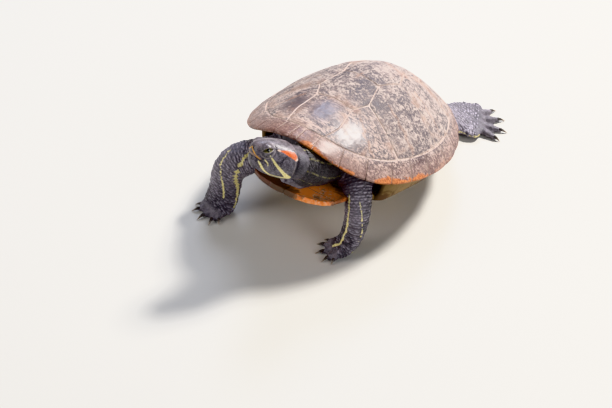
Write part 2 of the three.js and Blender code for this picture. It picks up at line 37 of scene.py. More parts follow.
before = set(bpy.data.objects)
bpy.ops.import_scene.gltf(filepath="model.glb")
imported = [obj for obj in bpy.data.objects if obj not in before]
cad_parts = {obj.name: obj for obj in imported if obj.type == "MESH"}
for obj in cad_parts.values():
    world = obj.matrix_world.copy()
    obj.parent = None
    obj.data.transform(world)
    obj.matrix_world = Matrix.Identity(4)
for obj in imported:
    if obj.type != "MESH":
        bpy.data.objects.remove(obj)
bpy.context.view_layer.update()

# ---- sizes (mm and degrees)
MM = 0.001
SHELL_MIDDLE = np.array([6.56, -3.98, 0.0])   # the floor point under the shell, from the origin
HALF_LENGTH = 100.0
HALF_WIDTH = 79.0
CROWN_HEIGHT = 55.0
CROWN_POWER = 1.85
CROWN_SHIFT = 9.0
FRONT_ARCH = 26.0
FRONT_ARCH_POWER = 5
REAR_ARCH = 11.0
FRONT_FLARE = 0.06
SHELL_PITCH = math.radians(18)
RIM_HEIGHT = 51.5
RIM_DROP = 7.0
PLASTRON_TOP = -22.0
PLASTRON_THICKNESS = 5.0
SEAM_RING = 0.875
INNER_WALL = 0.86
RIM_RADIUS = 85.0        # turns shares of the plan radius into mm at the rim
SEAM_RADIUS = 0.95 * 90  # mean radius in mm at which the rim's seams are opened
SEAM_GAP = 0.34          # open seam between two plates
COAT = 0.45              # depth of the scales, by which the skin lies inside the frame's solids
FAR = 40.0               # field value well away from any flesh

MARGINAL_SEAMS = np.array([2.5, 12.5, 28, 43, 58, 70.5, 83, 99, 114, 129, 144, 161, 180])
COSTAL_SEAMS = np.array([14, 62.5, 96, 130, 162])
VERTEBRAL_SEAMS = np.array([[17, -45], [17, -9], [16, 31], [12, 64]], float)
VERTEBRAL_CORNERS = np.array([[21, -66], [23.5, -31], [24, 13], [21, 49], [16, 76]], float)
PLASTRON_EDGE = np.array([
    [0, -96], [13, -97], [26, -94], [34, -89], [38.5, -82], [41, -66], [44, -50], [56, -43],
    [57, -5], [56, 35], [43, 42], [43, 57], [38, 73], [28, 84], [13, 90], [0, 84]], float)
PLASTRON_BANDS = {
    "gular": (-99, -78), "humeral": (-78, -56), "pectoral": (-56, -24),
    "abdominal": (-24, 18), "femoral": (18, 52), "anal": (52, 92)}
BRIDGE_SPAN = (-45.0, 33.0)
BRIDGE_CURL, BRIDGE_CURL_START = 4.0, -36.0     # how far the front end turns in, and where that begins
BRIDGE_FOOT = 57.2       # how far from the midline a bridge stands on the belly
SIDES = ((1, "left"), (-1, "right"))

HEAD_YAW, HEAD_PITCH, HEAD_ROLL = map(math.radians, (37.5, 25.5, 20))
HEAD_SNOUT = np.array([-11.2, -126.25, 113.7])
HEAD_STATIONS = np.array([      # distance behind the snout, half width, top, bottom
    [0.0, 4.6, 5.4, -7.8], [1.0, 6.4, 7.3, -10.25], [3.0, 8.2, 8.8, -12.6], [6.5, 10.0, 10.3, -14.2],
    [11.0, 12.0, 11.5, -15.4], [16.0, 14.0, 12.2, -16.6], [23.0, 16.5, 12.3, -17.6],
    [30.0, 18.2, 11.7, -17.8], [38.5, 18.0, 9.6, -17.0], [46.0, 16.0, 7.8, -15.2]])
HEAD_SQUARENESS = 2.3
EYE_CENTRE = np.array([7.8, 9.2, 4.2])
EYE_RADIUS = 4.7
CORNEA = 0.22            # how far the cornea stands out of the globe

STATIONS = {                    # x, y, z, half width, half thickness, from inside the trunk outward
    "neck": [[4, -46, 66, 24, 20.5], [9, -62, 68.5, 21, 18], [13.5, -76, 75.5, 17.5, 16.5],
             [15, -86, 82.5, 16, 15.5], [12.5, -93.5, 89, 14.5, 14.5], [9, -101, 95, 12, 12.5]],
    "foreleg_right": [[-24, -44, 54, 15, 13], [-42, -62, 50.5, 15, 12.5], [-58, -77, 46.5, 14.5, 12.5],
                      [-65, -85, 37, 13.5, 10.5], [-67, -88, 20, 13, 8.5], [-68.5, -93, 7, 13.5, 6.2],
                      [-70.5, -100, 4, 12.5, 4.7]],
    "foreleg_left": [[24, -40, 58, 14, 13], [37, -53, 55, 13, 12.5], [45.5, -62, 45, 11.2, 11.2],
                     [48, -67.5, 30, 11, 10], [45.8, -72, 14, 11, 8.5], [42, -77, 6, 11.5, 5.8],
                     [37.5, -81.5, 4, 11.5, 4.7]],
    "hindleg_left": [[28, 44, 30, 16, 14], [32, 64, 25, 15, 13], [29, 84, 17, 14, 10.5],
                     [28.3, 99.2, 10, 15, 8.6], [34.8, 110.4, 5.6, 21, 6.2], [44.3, 116.5, 4, 22, 4.6]],
    "hindleg_right": [[-28, 44, 30, 16, 14], [-40, 58, 25, 15, 13], [-48, 70, 17, 13.5, 10.5],
                      [-53, 79, 10, 13.5, 8], [-60, 86, 5, 16.5, 5.4], [-69, 90, 3.6, 18, 4.2]],
    "tail": [[0, 62, 24, 10, 10], [-1, 78, 16, 8.5, 8], [-4, 93, 8, 6.5, 5.8],
             [-8, 106, 3.8, 4.2, 4.2], [-12.5, 116, 2.0, 1.6, 2.3]],
}
SIDEWAYS = {"neck": (1, 0, 0), "foreleg_right": (0.92, 0.35, 0.1), "foreleg_left": (0.8, -0.6, 0),
            "hindleg_left": (0.6, -0.8, 0), "hindleg_right": (-0.8, -0.6, 0), "tail": (1, 0, 0)}
FORE_DIGITS = [(-54, 6, 4.5), (-27, 9, 6), (0, 10, 6.5), (27, 9, 6), (54, 6, 4.5)]
HIND_DIGITS = [(-40, 12, 5), (-15, 16, 6), (12, 17, 6), (38, 13, 5)]
HIND_DIGITS_LEFT = [(-34, 17, 5), (-14, 19, 6), (8, 17, 5.5), (32, 12.49, 5)]
# The digits of each foot, as (degrees from the foot's heading, reach of the skin, length of the claw), and
# their radius.
DIGITS = {"foreleg_right": (FORE_DIGITS, 3.1), "foreleg_left": (FORE_DIGITS, 3.1),
          "hindleg_left": (HIND_DIGITS_LEFT, 3.5), "hindleg_right": (HIND_DIGITS, 3.5)}

rng = np.random.default_rng(7)


# ---- small numpy tools
def smoothstep(low, high, value):
    """0 below low, 1 above high, and the cubic 3t^2 - 2t^3 between them."""
    t = np.clip((value - low) / (high - low), 0, 1)
    return t * t * (3 - 2 * t)


def smooth_min(a, b, reach):
    """The lesser of two fields, with the corner between them filled over the given reach."""
    h = np.maximum(reach - np.abs(a - b), 0) / reach
    return np.minimum(a, b) - h * h * reach / 4


def smooth_max(a, b, reach):
    """The greater of two fields, with the corner between them filled over the given reach."""
    return -smooth_min(-a, -b, reach)


def unit(vectors):
    """Vectors divided by their own lengths."""
    return vectors / np.maximum(np.linalg.norm(vectors, axis=-1, keepdims=True), 1e-9)


def bell(value, width):
    """1 at 0, falling on both sides as e to the power of minus (value / width) squared."""
    return np.exp(-(value / width) ** 2)


def turns(sides):
    """Angles spread evenly round a circle."""
    return np.linspace(0, 2 * math.pi, sides, endpoint=False)


def eased(count):
    """Shares from 0 to 1, crowded toward both ends: half of 1 minus a cosine."""
    return 0.5 - 0.5 * np.cos(np.linspace(0, math.pi, count))


def squared(value, power):
    """The value's size raised to a power, its sign kept. Powers below 1 square a circle off."""
    return np.sign(value) * np.abs(value) ** power


def rounded(distance, radius):
    """How far a surface drops at a distance from its edge, when the edge is a quarter circle."""
    return radius - np.sqrt(radius ** 2 - np.clip(radius - distance, 0, radius) ** 2)


def run_lengths(points):
    """The length passed at each point of a run."""
    return np.concatenate([[0], np.cumsum(np.linalg.norm(np.diff(points, axis=0), axis=1))])


def catmull(points, t):
    """Uniform Catmull-Rom run through the points, at shares t of the way from first to last."""
    points = np.asarray(points, float)
    padded = np.vstack([2 * points[0] - points[1], points, 2 * points[-1] - points[-2]])
    place = np.clip(np.asarray(t, float), 0, 1) * (len(points) - 1)
    k = np.minimum(place.astype(int), len(points) - 2)
    f = (place - k)[..., None]
    p0, p1, p2, p3 = padded[k], padded[k + 1], padded[k + 2], padded[k + 3]
    return 0.5 * (2 * p1 + (p2 - p0) * f + (2 * p0 - 5 * p1 + 4 * p2 - p3) * f ** 2
                  + (3 * p1 - p0 - 3 * p2 + p3) * f ** 3)


def segment_distance(points, run):
    """Distance from each point to an open run of points, and the share of the run's points passed."""
    run = np.asarray(run, float)
    best = np.full(points.shape[:-1], 1e9)
    passed = np.zeros(points.shape[:-1])
    for k in range(len(run) - 1):
        step = run[k + 1] - run[k]
        t = np.clip((points - run[k]) @ step / max(step @ step, 1e-9), 0, 1)
        gap = np.linalg.norm(points - run[k] - t[..., None] * step, axis=-1)
        closer = gap < best
        best = np.where(closer, gap, best)
        passed = np.where(closer, k + t, passed)
    return best, passed


def waves(points, size, seed=0.0):
    """Sum of three crossed sine waves about size long: a gentle unevenness between -1 and 1."""
    q = points * (2 * math.pi / size)
    x, y, z = q[..., 0], q[..., 1], q[..., 2]
    return (np.sin(x + 1.7 * np.sin(0.6 * y + seed)) + np.sin(1.13 * y + 1.3 * np.sin(0.7 * z + 2 * seed))
            + np.sin(0.93 * z + 1.5 * np.sin(0.8 * x - seed))) / 3


# ---- the shell's surface
def rim_rise(phi):
    """Rise of the rim: FRONT_ARCH times cos^5 in front, REAR_ARCH times cos^2 behind."""
    c = np.cos(phi)
    return np.where(c > 0, FRONT_ARCH * np.maximum(c, 0) ** FRONT_ARCH_POWER, REAR_ARCH * c * c)


def plan_point(phi, rho):
    """Plan point at an angle from the front and a share of the radius: an ellipse, wider in front by
    FRONT_FLARE times the cosine, whose middle is moved back by CROWN_SHIFT times 1 - rho^2."""
    x = HALF_WIDTH * np.sin(phi) * (1 + FRONT_FLARE * np.cos(phi)) * rho
    y = -HALF_LENGTH * np.cos(phi) * rho + CROWN_SHIFT * (1 - rho * rho)
    return np.stack(np.broadcast_arrays(x, y), -1)


def dome_height(phi, rho):
    """Rim's rise times rho^3, plus the crown's height times 1 - rho^CROWN_POWER."""
    return rim_rise(phi) * rho ** 3 + CROWN_HEIGHT * (1 - rho ** CROWN_POWER)


def dome_point(phi, rho, drop):
    """The plan point raised to the dome, less a drop."""
    plan = plan_point(phi, rho)
    return np.concatenate([plan, (dome_height(phi, rho) - drop)[..., None]], -1)


def plan_polar(plan):
    """Angle and share of the plan radius at plan points: plan_point undone by repeated steps."""
    x, y = plan[..., 0], plan[..., 1]
    phi, rho = np.arctan2(x / HALF_WIDTH, -y / HALF_LENGTH), np.hypot(x / HALF_WIDTH, y / HALF_LENGTH)
    for _ in range(7):
        across = x / (HALF_WIDTH * (1 + FRONT_FLARE * np.cos(phi)))
        ahead = -(y - CROWN_SHIFT * (1 - rho * rho)) / HALF_LENGTH
        phi, rho = np.arctan2(across, ahead), np.hypot(across, ahead)
    return phi, rho


def plan_height(plan):
    """The dome's height over plan points."""
    return dome_height(*plan_polar(plan))


def on_dome(plan, lift):
    """Plan points raised to the dome and then moved by lift along the dome's own normal."""
    small = 0.5
    height = plan_height(plan)
    slope_x = plan_height(plan + (small, 0)) - plan_height(plan - (small, 0))
    slope_y = plan_height(plan + (0, small)) - plan_height(plan - (0, small))
    normal = unit(np.stack([-slope_x, -slope_y, np.full_like(height, 2 * small)], -1))
    points = np.concatenate([plan, height[..., None]], -1)
    return points + normal * lift[..., None]


def pose_shell(points):
    """From the level shell's frame to its pose: tipped up in front, then raised to RIM_HEIGHT."""
    c, s = math.cos(SHELL_PITCH), math.sin(SHELL_PITCH)
    x, y, z = points[..., 0], points[..., 1], points[..., 2]
    return np.stack([x, y * c + z * s, z * c - y * s + RIM_HEIGHT], -1)


def unpose_shell(points):
    """From the posed shell's frame back to the level one."""
    c, s = math.cos(SHELL_PITCH), math.sin(SHELL_PITCH)
    x, y, z = points[..., 0], points[..., 1], points[..., 2] - RIM_HEIGHT
    return np.stack([x, y * c - z * s, y * s + z * c], -1)


# ---- making pieces
def ring_faces(rings, sides):
    """Quads between rings of points, and fans to the first and the last point, which are poles."""
    side = np.arange(sides)
    after = (side + 1) % sides
    row = 1 + np.arange(rings)[:, None] * sides
    quads = np.stack([row[:-1] + side, row[:-1] + after, row[1:] + after, row[1:] + side], -1)
    last = 1 + rings * sides
    head = np.stack([np.zeros(sides, int), row[0] + after, row[0] + side], -1)
    tail = np.stack([np.full(sides, last), row[-1] + side, row[-1] + after], -1)
    return quads.reshape(-1, 4), np.vstack([head, tail])


def outward(points, quads, tris):
    """Turns all faces of one closed piece over if its signed volume is negative."""
    parts = [tris] if len(quads) == 0 else [tris, quads[:, [0, 1, 2]], quads[:, [0, 2, 3]]]
    every = np.vstack(parts)
    a, b, c = (points[every[:, k]] for k in range(3))
    if np.einsum("ij,ij->i", a, np.cross(b, c)).sum() < 0:
        return quads[:, ::-1], tris[:, ::-1]
    return quads, tris


def new_object(name, data):
    """An object in the scene that shows the data."""
    made = bpy.data.objects.new(name, data)
    bpy.context.scene.collection.objects.link(made)
    return made


class Shape:
    """Closed surfaces gathered into one mesh: points in mm, faces, and values at the points. Adding to it
    gives it back."""

    def __init__(self):
        self.points, self.quads, self.tris, self.values, self.count = [], [], [], [], 0

    def add(self, points, quads, tris, **values):
        """One closed piece, turned to face outward, with a value or an array of them for each name."""
        quads, tris = outward(points, quads, tris)
        self.points.append(points)
        self.quads.append(quads + self.count)
        self.tris.append(tris + self.count)
        self.values.append({k: np.broadcast_to(v, len(points)) for k, v in values.items()})
        self.count += len(points)
        return self

    def add_rings(self, rings, first, last, **values):
        """A closed body from rings of shape (count, sides, 3) and the two poles that close it."""
        count, sides = rings.shape[:2]
        points = np.vstack([first[None], rings.reshape(-1, 3), last[None]])
        spread = {}
        for key, value in values.items():
            value = np.broadcast_to(value, (count, sides))
            spread[key] = np.concatenate([[value[0].mean()], value.ravel(), [value[-1].mean()]])
        return self.add(points, *ring_faces(count, sides), **spread)

    def build(self, name, material, slot, replaces=(), posed=None):
        """Writes the mesh in metres and rides it on the root. The slot is not used."""
        points = np.vstack(self.points)
        if posed:
            points = posed(points)
        mesh = bpy.data.meshes.new(name)
        faces = np.vstack(self.quads).tolist() + np.vstack(self.tris).tolist()
        mesh.from_pydata(((points + SHELL_MIDDLE) * MM).tolist(), [], faces)
        for key in self.values[0]:
            layer = mesh.attributes.new(key, "FLOAT", "POINT")
            gathered = np.concatenate([values[key] for values in self.values])
            layer.data.foreach_set("value", gathered.astype(np.float32))
        mesh.shade_smooth()
        mesh.validate()
        mesh.materials.append(material)
        piece = new_object(name, mesh)
        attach(piece, "root")
        if replaces:
            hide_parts(*replaces)
        return piece


# ---- shader writing
def arithmetic(operation, turned=False):
    """The method for one operator: a Math node on both values, the other one first if turned."""
    def method(self, other):
        pair = [other, self] if turned else [self, other]
        return self.tree.node("Math", {"operation": operation}, pair)
    return method


class Wire:
    """An output socket. Arithmetic on it adds Math nodes; colours go through tree.mix instead."""
    __add__ = __radd__ = arithmetic("ADD")
    __mul__ = __rmul__ = arithmetic("MULTIPLY")
    __sub__, __rsub__ = arithmetic("SUBTRACT"), arithmetic("SUBTRACT", turned=True)

    def __init__(self, tree, socket):
        self.tree, self.socket = tree, socket

    def step(self, low, high):
        """0 below low and 1 above high, smooth between; low above high turns it over."""
        if low > high:
            return 1 - self.step(high, low)
        settings = {"interpolation_type": "SMOOTHSTEP"}
        return self.tree.node("MapRange", settings, {"Value": self, "From Min": low, "From Max": high})

    def clip(self):
        """Kept between 0 and 1."""
        return self.tree.node("Clamp", {}, [self])


class Tree:
    """The node tree of one material, ending in a Principled shader."""

    def __init__(self, name, **constants):
        self.material = bpy.data.materials.new(name)
        self.material.use_nodes = True
        self.nodes = self.material.node_tree.nodes
        self.links = self.material.node_tree.links
        self.shader = self.nodes["Principled BSDF"]
        for key, value in constants.items():
            self.shader.inputs[key.replace("_", " ")].default_value = value
        coordinates = self.nodes.new("ShaderNodeTexCoord")
        self.place = Wire(self, coordinates.outputs["Object"])

    def node(self, kind, settings, inputs=(), output=0):
        """Adds a node of that kind, sets its settings first, then fills or links its inputs."""
        made = self.nodes.new("ShaderNode" + kind)
        for key, value in settings.items():
            setattr(made, key, value)
        pairs = inputs.items() if isinstance(inputs, dict) else enumerate(inputs)
        for key, value in pairs:
            socket = made.inputs[key]
            if isinstance(value, Wire):
                self.links.new(value.socket, socket)
            else:
                socket.default_value = value
        return Wire(self, made.outputs[output])

    def value(self, name):
        """A value stored at the mesh's points."""
        return self.node("Attribute", {"attribute_name": name}, output="Fac")

    def along(self, axis):
        """One of the object coordinates: X, Y or Z."""
        return self.node("SeparateXYZ", {}, [self.place], output=axis)

    def stretched(self, x, y, z):
        """Object coordinates scaled differently along each axis."""
        return self.node("Mapping", {"vector_type": "POINT"}, {"Vector": self.place, "Scale": (x, y, z)})

    def noise(self, scale, detail, rough, warp=0.0, place=None):
        """Fractal noise with scale swells in a metre."""
        return self.node("TexNoise", {}, {
            "Vector": place or self.place, "Scale": scale, "Detail": detail, "Roughness": rough,
            "Distortion": warp})

    def mix(self, factor, first, second):
        """Colour mix: first where the factor is 0, second where it is 1."""
        first, second = (value if isinstance(value, Wire) else (*value, 1.0) for value in (first, second))
        return self.node("Mix", {"data_type": "RGBA"}, {0: factor, 6: first, 7: second}, output=2)

    def bump(self, height, distance, strength):
        """The normal over a height, where a height of 1 stands for the distance in mm."""
        return self.node("Bump", {}, {"Height": height, "Distance": distance * MM, "Strength": strength})

    def finish(self, **wires):
        """Links wires to the shader's sockets, named with underlines for blanks."""
        for key, wire in wires.items():
            self.links.new(wire.socket, self.shader.inputs[key.replace("_", " ")])
        return self.material


# ---- the head's own frame
def turn_matrix(axis, angle):
    """Rotation about one axis: x is 0, y is 1 and z is 2."""
    c, s = math.cos(angle), math.sin(angle)
    matrix = np.eye(3)
    i, j = [(1, 2), (2, 0), (0, 1)][axis]
    matrix[i, i] = matrix[j, j] = c
    matrix[i, j], matrix[j, i] = -s, s
    return matrix


HEAD_TURN = turn_matrix(2, -HEAD_YAW) @ turn_matrix(0, -HEAD_PITCH) @ turn_matrix(1, -HEAD_ROLL)
HEAD_PROFILE = catmull(HEAD_STATIONS, np.linspace(0, 1, 120))
HEAD_LENGTH = HEAD_STATIONS[-1, 0]
# The eye's own directions: out of the socket, forward along the slit, and up across it.
EYE_OUT = unit(np.array([0.93, -0.27, 0.25]))
SLIT_WAY = np.array([-0.13, -0.907, -0.398])
EYE_LONG = unit(SLIT_WAY - EYE_OUT * (SLIT_WAY @ EYE_OUT))
EYE_UP = np.cross(EYE_LONG, EYE_OUT)
EYE_UP = EYE_UP * np.sign(EYE_UP[2])
SLIT_HALF, SLIT_ABOVE, SLIT_BELOW = 4.6, 1.5, 1.9      # half length of the slit, and its two arches
LID_RADIUS = 5.5
# The mouth's line on the left side, in the head's frame: sideways, behind the snout, up.
MOUTH = np.array([[0, -0.8, -2.4], [4.4, 0.4, -2.8], [8.0, 4.9, -4.0], [9.2, 7.7, -4.8],
                  [10.1, 10.1, -5.3], [11.4, 12.7, -6.9]])
NOSTRIL = np.array([1.9, 0.5, 2.7])


def to_head(points):
    """Places in the head's own frame: sideways, behind the snout and up."""
    return (points - HEAD_SNOUT) @ HEAD_TURN


def from_head(points):
    """Places in the head's frame back in the shell's."""
    return points @ HEAD_TURN.T + HEAD_SNOUT


def left_side(q):
    """Places in the head's frame, those of the right side mirrored to the left."""
    return np.stack([np.abs(q[..., 0]), q[..., 1], q[..., 2]], -1)


def eye_place(q):
    """Offsets from the nearer eye: forward along the slit, up across it, out of the socket, and the range."""
    local = left_side(q) - EYE_CENTRE
    return local @ EYE_LONG, local @ EYE_UP, local @ EYE_OUT, np.linalg.norm(local, axis=-1)


def slit_edge(forward, up):
    """How far a place is past the edge of the almond slit, whose two lids are parabolas."""
    arch = 1 - (forward / SLIT_HALF) ** 2
    return np.maximum(up - SLIT_ABOVE * arch, -up - SLIT_BELOW * arch)


def mouth_height(q):
    """Height of the mouth's line at each place."""
    return np.interp(q[..., 1], MOUTH[:, 1], MOUTH[:, 2])


def cheek_fold(q):
    """How far behind the rear edge of the cheek a place lies; the edge bows back in the middle."""
    return q[..., 1] - (32.4 + 0.003 * (q[..., 2] + 1) ** 2 - 0.09 * q[..., 2])


def head_field(q):
    """Superellipse sections along the head, rounded at the snout, with lids, mouth, nostrils and folds."""
    x, y, z = np.abs(q[..., 0]), q[..., 1], q[..., 2]
    along = np.clip(y, 0, HEAD_LENGTH)
    wide, top, low = (np.interp(along, HEAD_PROFILE[:, 0], HEAD_PROFILE[:, k]) for k in (1, 2, 3))
    high = np.where(z > 0, top, -low)
    power = HEAD_SQUARENESS
    ratio = ((x / wide) ** power + (np.abs(z) / high) ** power) ** (1 / power)
    flank = np.maximum(np.hypot(x, z), 3.0) * (1 - 1 / np.maximum(ratio, 0.2))
    body = smooth_max(flank + COAT, -y - 0.3, 2.2)
    body = smooth_max(body, y - HEAD_LENGTH + 1, 3.0)
    # the horny upper jaw overhangs the lower one in front of the mouth's corner
    lip = mouth_height(q)
    body = body + 0.6 * smoothstep(0, 0.9, lip - z) * (1 - smoothstep(8, 13, y))
    # the cheek behind the eye is a little hollow and the skull's table above it flat
    body = body + 0.5 * np.exp(-((y - 20) / 5.5) ** 2 - ((z - 3.2) / 3.0) ** 2)
    forward, up, out, reach = eye_place(q)
    lids = reach - LID_RADIUS + 0.25 * smoothstep(2.5, 5, np.abs(forward))
    body = smooth_min(body, lids, 1.3)
    body = body + 0.35 * bell(reach - LID_RADIUS - 1.1, 0.45) * smoothstep(-1, 1, out)
    slit = np.maximum(slit_edge(forward, up), np.maximum(np.abs(forward) - SLIT_HALF, 1.0 - out))
    slit = np.maximum(slit, EYE_RADIUS - 0.45 - reach)
    body = smooth_max(body, -slit, 0.5)
    body = body + 1.2 * bell(z - lip, 0.55) * (1 - smoothstep(9.5, 12.5, y))
    body = smooth_max(body, 0.75 - np.linalg.norm(left_side(q) - NOSTRIL, axis=-1), 0.3)
    drum = np.hypot((y - 19.0) / 6.2, (z - 3.4 - 0.1 * (y - 19)) / 3.2)
    return body + 0.22 * bell(drum - 1, 0.14) * smoothstep(6, 9, x)


def cheek_crease(q, body):
    """The groove behind the cheek, cut into head and neck alike, with the neck drawn in just behind it."""
    behind = cheek_fold(q)
    drawn = smoothstep(0, 1.5, behind) * smoothstep(9, 3, behind)
    return (1.7 * bell(behind - 0.9, 1.2) + 0.8 * drawn) * smoothstep(3.5, 1.5, np.abs(body))


# ---- limbs, neck and tail as swept ellipses
class Sweep:
    """A limb: an ellipse carried along a Catmull-Rom run of stations, its long axis held sideways."""
    MARGIN = 8.0     # how far outside a limb its field is still worked out

    def __init__(self, name, count=25):
        stations = np.array(STATIONS[name], float)
        share = np.linspace(0, 1, count)
        self.centre = catmull(stations[:, :3], share)
        self.wide, self.thick = catmull(stations[:, 3:], share).T - COAT
        self.along = unit(np.gradient(self.centre, axis=0))
        sideways = np.array(SIDEWAYS[name], float)
        self.side = unit(sideways - (self.along @ sideways)[:, None] * self.along)
        self.over = unit(np.cross(self.side, self.along))
        self.passed = run_lengths(self.centre)
        self.length = self.passed[-1]

    def box(self, margin):
        """Two corners of a box round the limb with a margin."""
        reach = np.maximum(self.wide, self.thick)[:, None]
        return (self.centre - reach - margin).min(0), (self.centre + reach + margin).max(0)

    def locate(self, points):
        """Nearly the distance to the limb, the length passed along it and the angle round it."""
        flat = points.reshape(-1, 3)
        best = np.full(len(flat), FAR, np.float32)
        passed = np.zeros(len(flat), np.float32)
        angle = np.zeros(len(flat), np.float32)
        for k in range(len(self.centre) - 1):
            step = self.centre[k + 1] - self.centre[k]
            reach = max(self.wide[k], self.thick[k], self.wide[k + 1], self.thick[k + 1]) + self.MARGIN
            middle = self.centre[k] + step / 2
            offset = flat - middle
            size = np.linalg.norm(step)
            near = np.flatnonzero(np.einsum("ij,ij->i", offset, offset) < (reach + size) ** 2)
            local = flat[near] - self.centre[k]
            t = np.clip(local @ step / (step @ step), 0, 1)
            local = local - t[:, None] * step
            side = self.side[k] + t[:, None] * (self.side[k + 1] - self.side[k])
            over = self.over[k] + t[:, None] * (self.over[k + 1] - self.over[k])
            wide = self.wide[k] + t * (self.wide[k + 1] - self.wide[k])
            thick = self.thick[k] + t * (self.thick[k + 1] - self.thick[k])
            a = np.einsum("ij,ij->i", local, side) / wide
            b = np.einsum("ij,ij->i", local, over) / thick
            beyond = local @ unit(step) / thick
            beyond = np.where((t <= 0) | (t >= 1), beyond, 0)
            ratio = np.sqrt(a * a + b * b + beyond * beyond)
            gap = np.linalg.norm(local, axis=1) * (1 - 1 / np.maximum(ratio, 0.2))
            closer = gap < best[near]
            chosen = near[closer]
            best[chosen] = gap[closer]
            passed[chosen] = (self.passed[k] + t * size)[closer]
            angle[chosen] = np.arctan2(b, a)[closer]
        shape = points.shape[:-1]
        return best.reshape(shape), passed.reshape(shape), angle.reshape(shape)

    def frame_at(self, passed):
        """Centre, directions and half sizes at lengths passed along the limb."""
        columns = np.column_stack([self.centre, self.along, self.side, self.over, self.wide, self.thick]).T
        at = np.stack([np.interp(passed, self.passed, column) for column in columns], -1)
        return at[..., 0:3], at[..., 3:6], at[..., 6:9], at[..., 9:12], at[..., 12], at[..., 13]


SWEEPS = {name: Sweep(name) for name in STATIONS}


def digit_rays(name):
    """Root, direction, skin reach, claw length and radius of each digit, fanned from the foot's end."""
    digits, radius = DIGITS[name]
    last, before = np.array(STATIONS[name][-1]), np.array(STATIONS[name][-2])
    heading = math.atan2(last[1] - before[1], last[0] - before[0])
    rays = []
    for angle, reach, claw in digits:
        spread = last[3] * 0.62 * math.sin(math.radians(angle * 1.25))
        turn = heading + math.radians(angle)
        root = np.array([last[0] - spread * math.sin(heading), last[1] + spread * math.cos(heading),
                         last[2] - 0.4])
        rays.append((root, np.array([math.cos(turn), math.sin(turn), 0.0]), reach, claw, radius))
    return rays


def capsule(points, start, end, first, last):
    """Distance to a rod with round ends whose radius runs from first to last."""
    step = end - start
    t = np.clip((points - start) @ step / (step @ step), 0, 1)
    return np.linalg.norm(points - start - t[..., None] * step, axis=-1) - (first + (last - first) * t)


def foot_field(points, name):
    """The digits as tapering rods, and the web as thinner rods fanned between them."""
    rays = digit_rays(name)
    ends = [root + direction * reach for root, direction, reach, _, _ in rays]
    field = np.full(points.shape[:-1], FAR, np.float32)
    for (root, _, reach, _, radius), end in zip(rays, ends):
        knuckle = root + (end - root) * 0.55
        tip = np.array([end[0], end[1], radius * 0.62 + 0.1])
        knuckle[2] = radius * 0.9
        field = smooth_min(field, capsule(points, root, knuckle, radius, radius * 0.84), 1.0)
        field = smooth_min(field, capsule(points, knuckle, tip, radius * 0.84, radius * 0.56), 1.0)
    for k in range(len(rays) - 1):
        for share in (0.2, 0.4, 0.6, 0.8):
            root = rays[k][0] + (rays[k + 1][0] - rays[k][0]) * share
            end = ends[k] + (ends[k + 1] - ends[k]) * share
            end = end + (root - end) * (0.1 + 0.55 * share * (1 - share))
            low_root, low_end = np.array([*root[:2], 2.2]), np.array([*end[:2], 1.15])
            field = smooth_min(field, capsule(points, low_root, low_end, 1.7, 0.75), 1.6)
    return field + COAT * 0.4


# ---- room for the horn
HORN_DEPTH, TRUNK_DEPTH = 4.5, 7.2     # under the dome: the horn's underside, and the top of the trunk
RIM_UNDER_RISE = 3.6                   # how much higher the rim's underside is at the lip than at its wall
ROUGH_MM = 60.0                        # turns shares of the plan radius into mm, near enough for the fields


def horn_room(points):
    """How deep a place lies in the shell's plates, the trunk's field, and the place in the level shell's
    frame. Roof and rim are each the least of the distances to their sides, and the flesh ends at both."""
    local = unpose_shell(points)
    phi, rho = plan_polar(local[..., :2])
    z = local[..., 2]
    dome = dome_height(phi, np.minimum(rho, 1.0))
    rise = rim_rise(phi)
    rim_under = rise - RIM_DROP - 0.4 + (rho - INNER_WALL) / (1 - INNER_WALL) * RIM_UNDER_RISE
    roof = np.minimum(z - (dome - HORN_DEPTH), (1.02 - rho) * ROUGH_MM)
    wall = np.minimum((rho - INNER_WALL + 0.006) * ROUGH_MM, z - rim_under)
    rim = np.minimum(wall, (1.05 - rho) * ROUGH_MM)
    c = np.cos(phi)
    # the trunk is cut back at the front and the rear, where neck, legs and tail leave the shell
    edge = 0.845 - 0.11 * smoothstep(0.35, 0.8, c) - 0.05 * smoothstep(0.45, 0.85, -c)
    trunk = smooth_max((rho / edge - 1) * 55, z - (dome - TRUNK_DEPTH), 5.0)
    trunk = smooth_max(trunk, PLASTRON_TOP + 0.4 - z, 4.0)
    below = (rho - (0.70 + 0.15 * smoothstep(-20, -6, z))) * ROUGH_MM
    trunk = smooth_max(trunk, below, 4.0)
    return np.maximum(roof, rim), trunk, local


def lobe_half_width(y):
    """Half width of the plastron at y, read along its outline."""
    return np.interp(y, PLASTRON_EDGE[1:-1, 1], PLASTRON_EDGE[1:-1, 0])


def plastron_depth(local):
    """How deep a place lies in the slab of the plastron."""
    right = PLASTRON_EDGE[1:-1][::-1] * (-1, 1)
    loop = np.vstack([PLASTRON_EDGE, right, PLASTRON_EDGE[:1]])
    plan = local[..., :2]
    gap, _ = segment_distance(plan, loop)
    inside = np.abs(plan[..., 0]) < lobe_half_width(plan[..., 1])
    side = np.where(inside, gap, -gap) + 0.4
    middle = PLASTRON_TOP - PLASTRON_THICKNESS / 2
    return np.minimum(side, PLASTRON_THICKNESS / 2 + 0.3 - np.abs(local[..., 2] - middle))


# ---- the skin
HEAD_BLOCK = ((-38.0, 30.0), (-134.0, -82.0), (75.0, 122.4))
FINE, COARSE = ((0.5, 1.25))
SKIN_TRIANGLES = 190000


# Spans of the whole grid and of the trunk along each axis, in mm.
GRID_BOX = ((-96.0, 84.0), (-134.0, 142.0), (-2.5, 122.5))
TRUNK_BOX = ((-68.0, 68.0), (-84.0, 92.0), (6.0, 108.0))


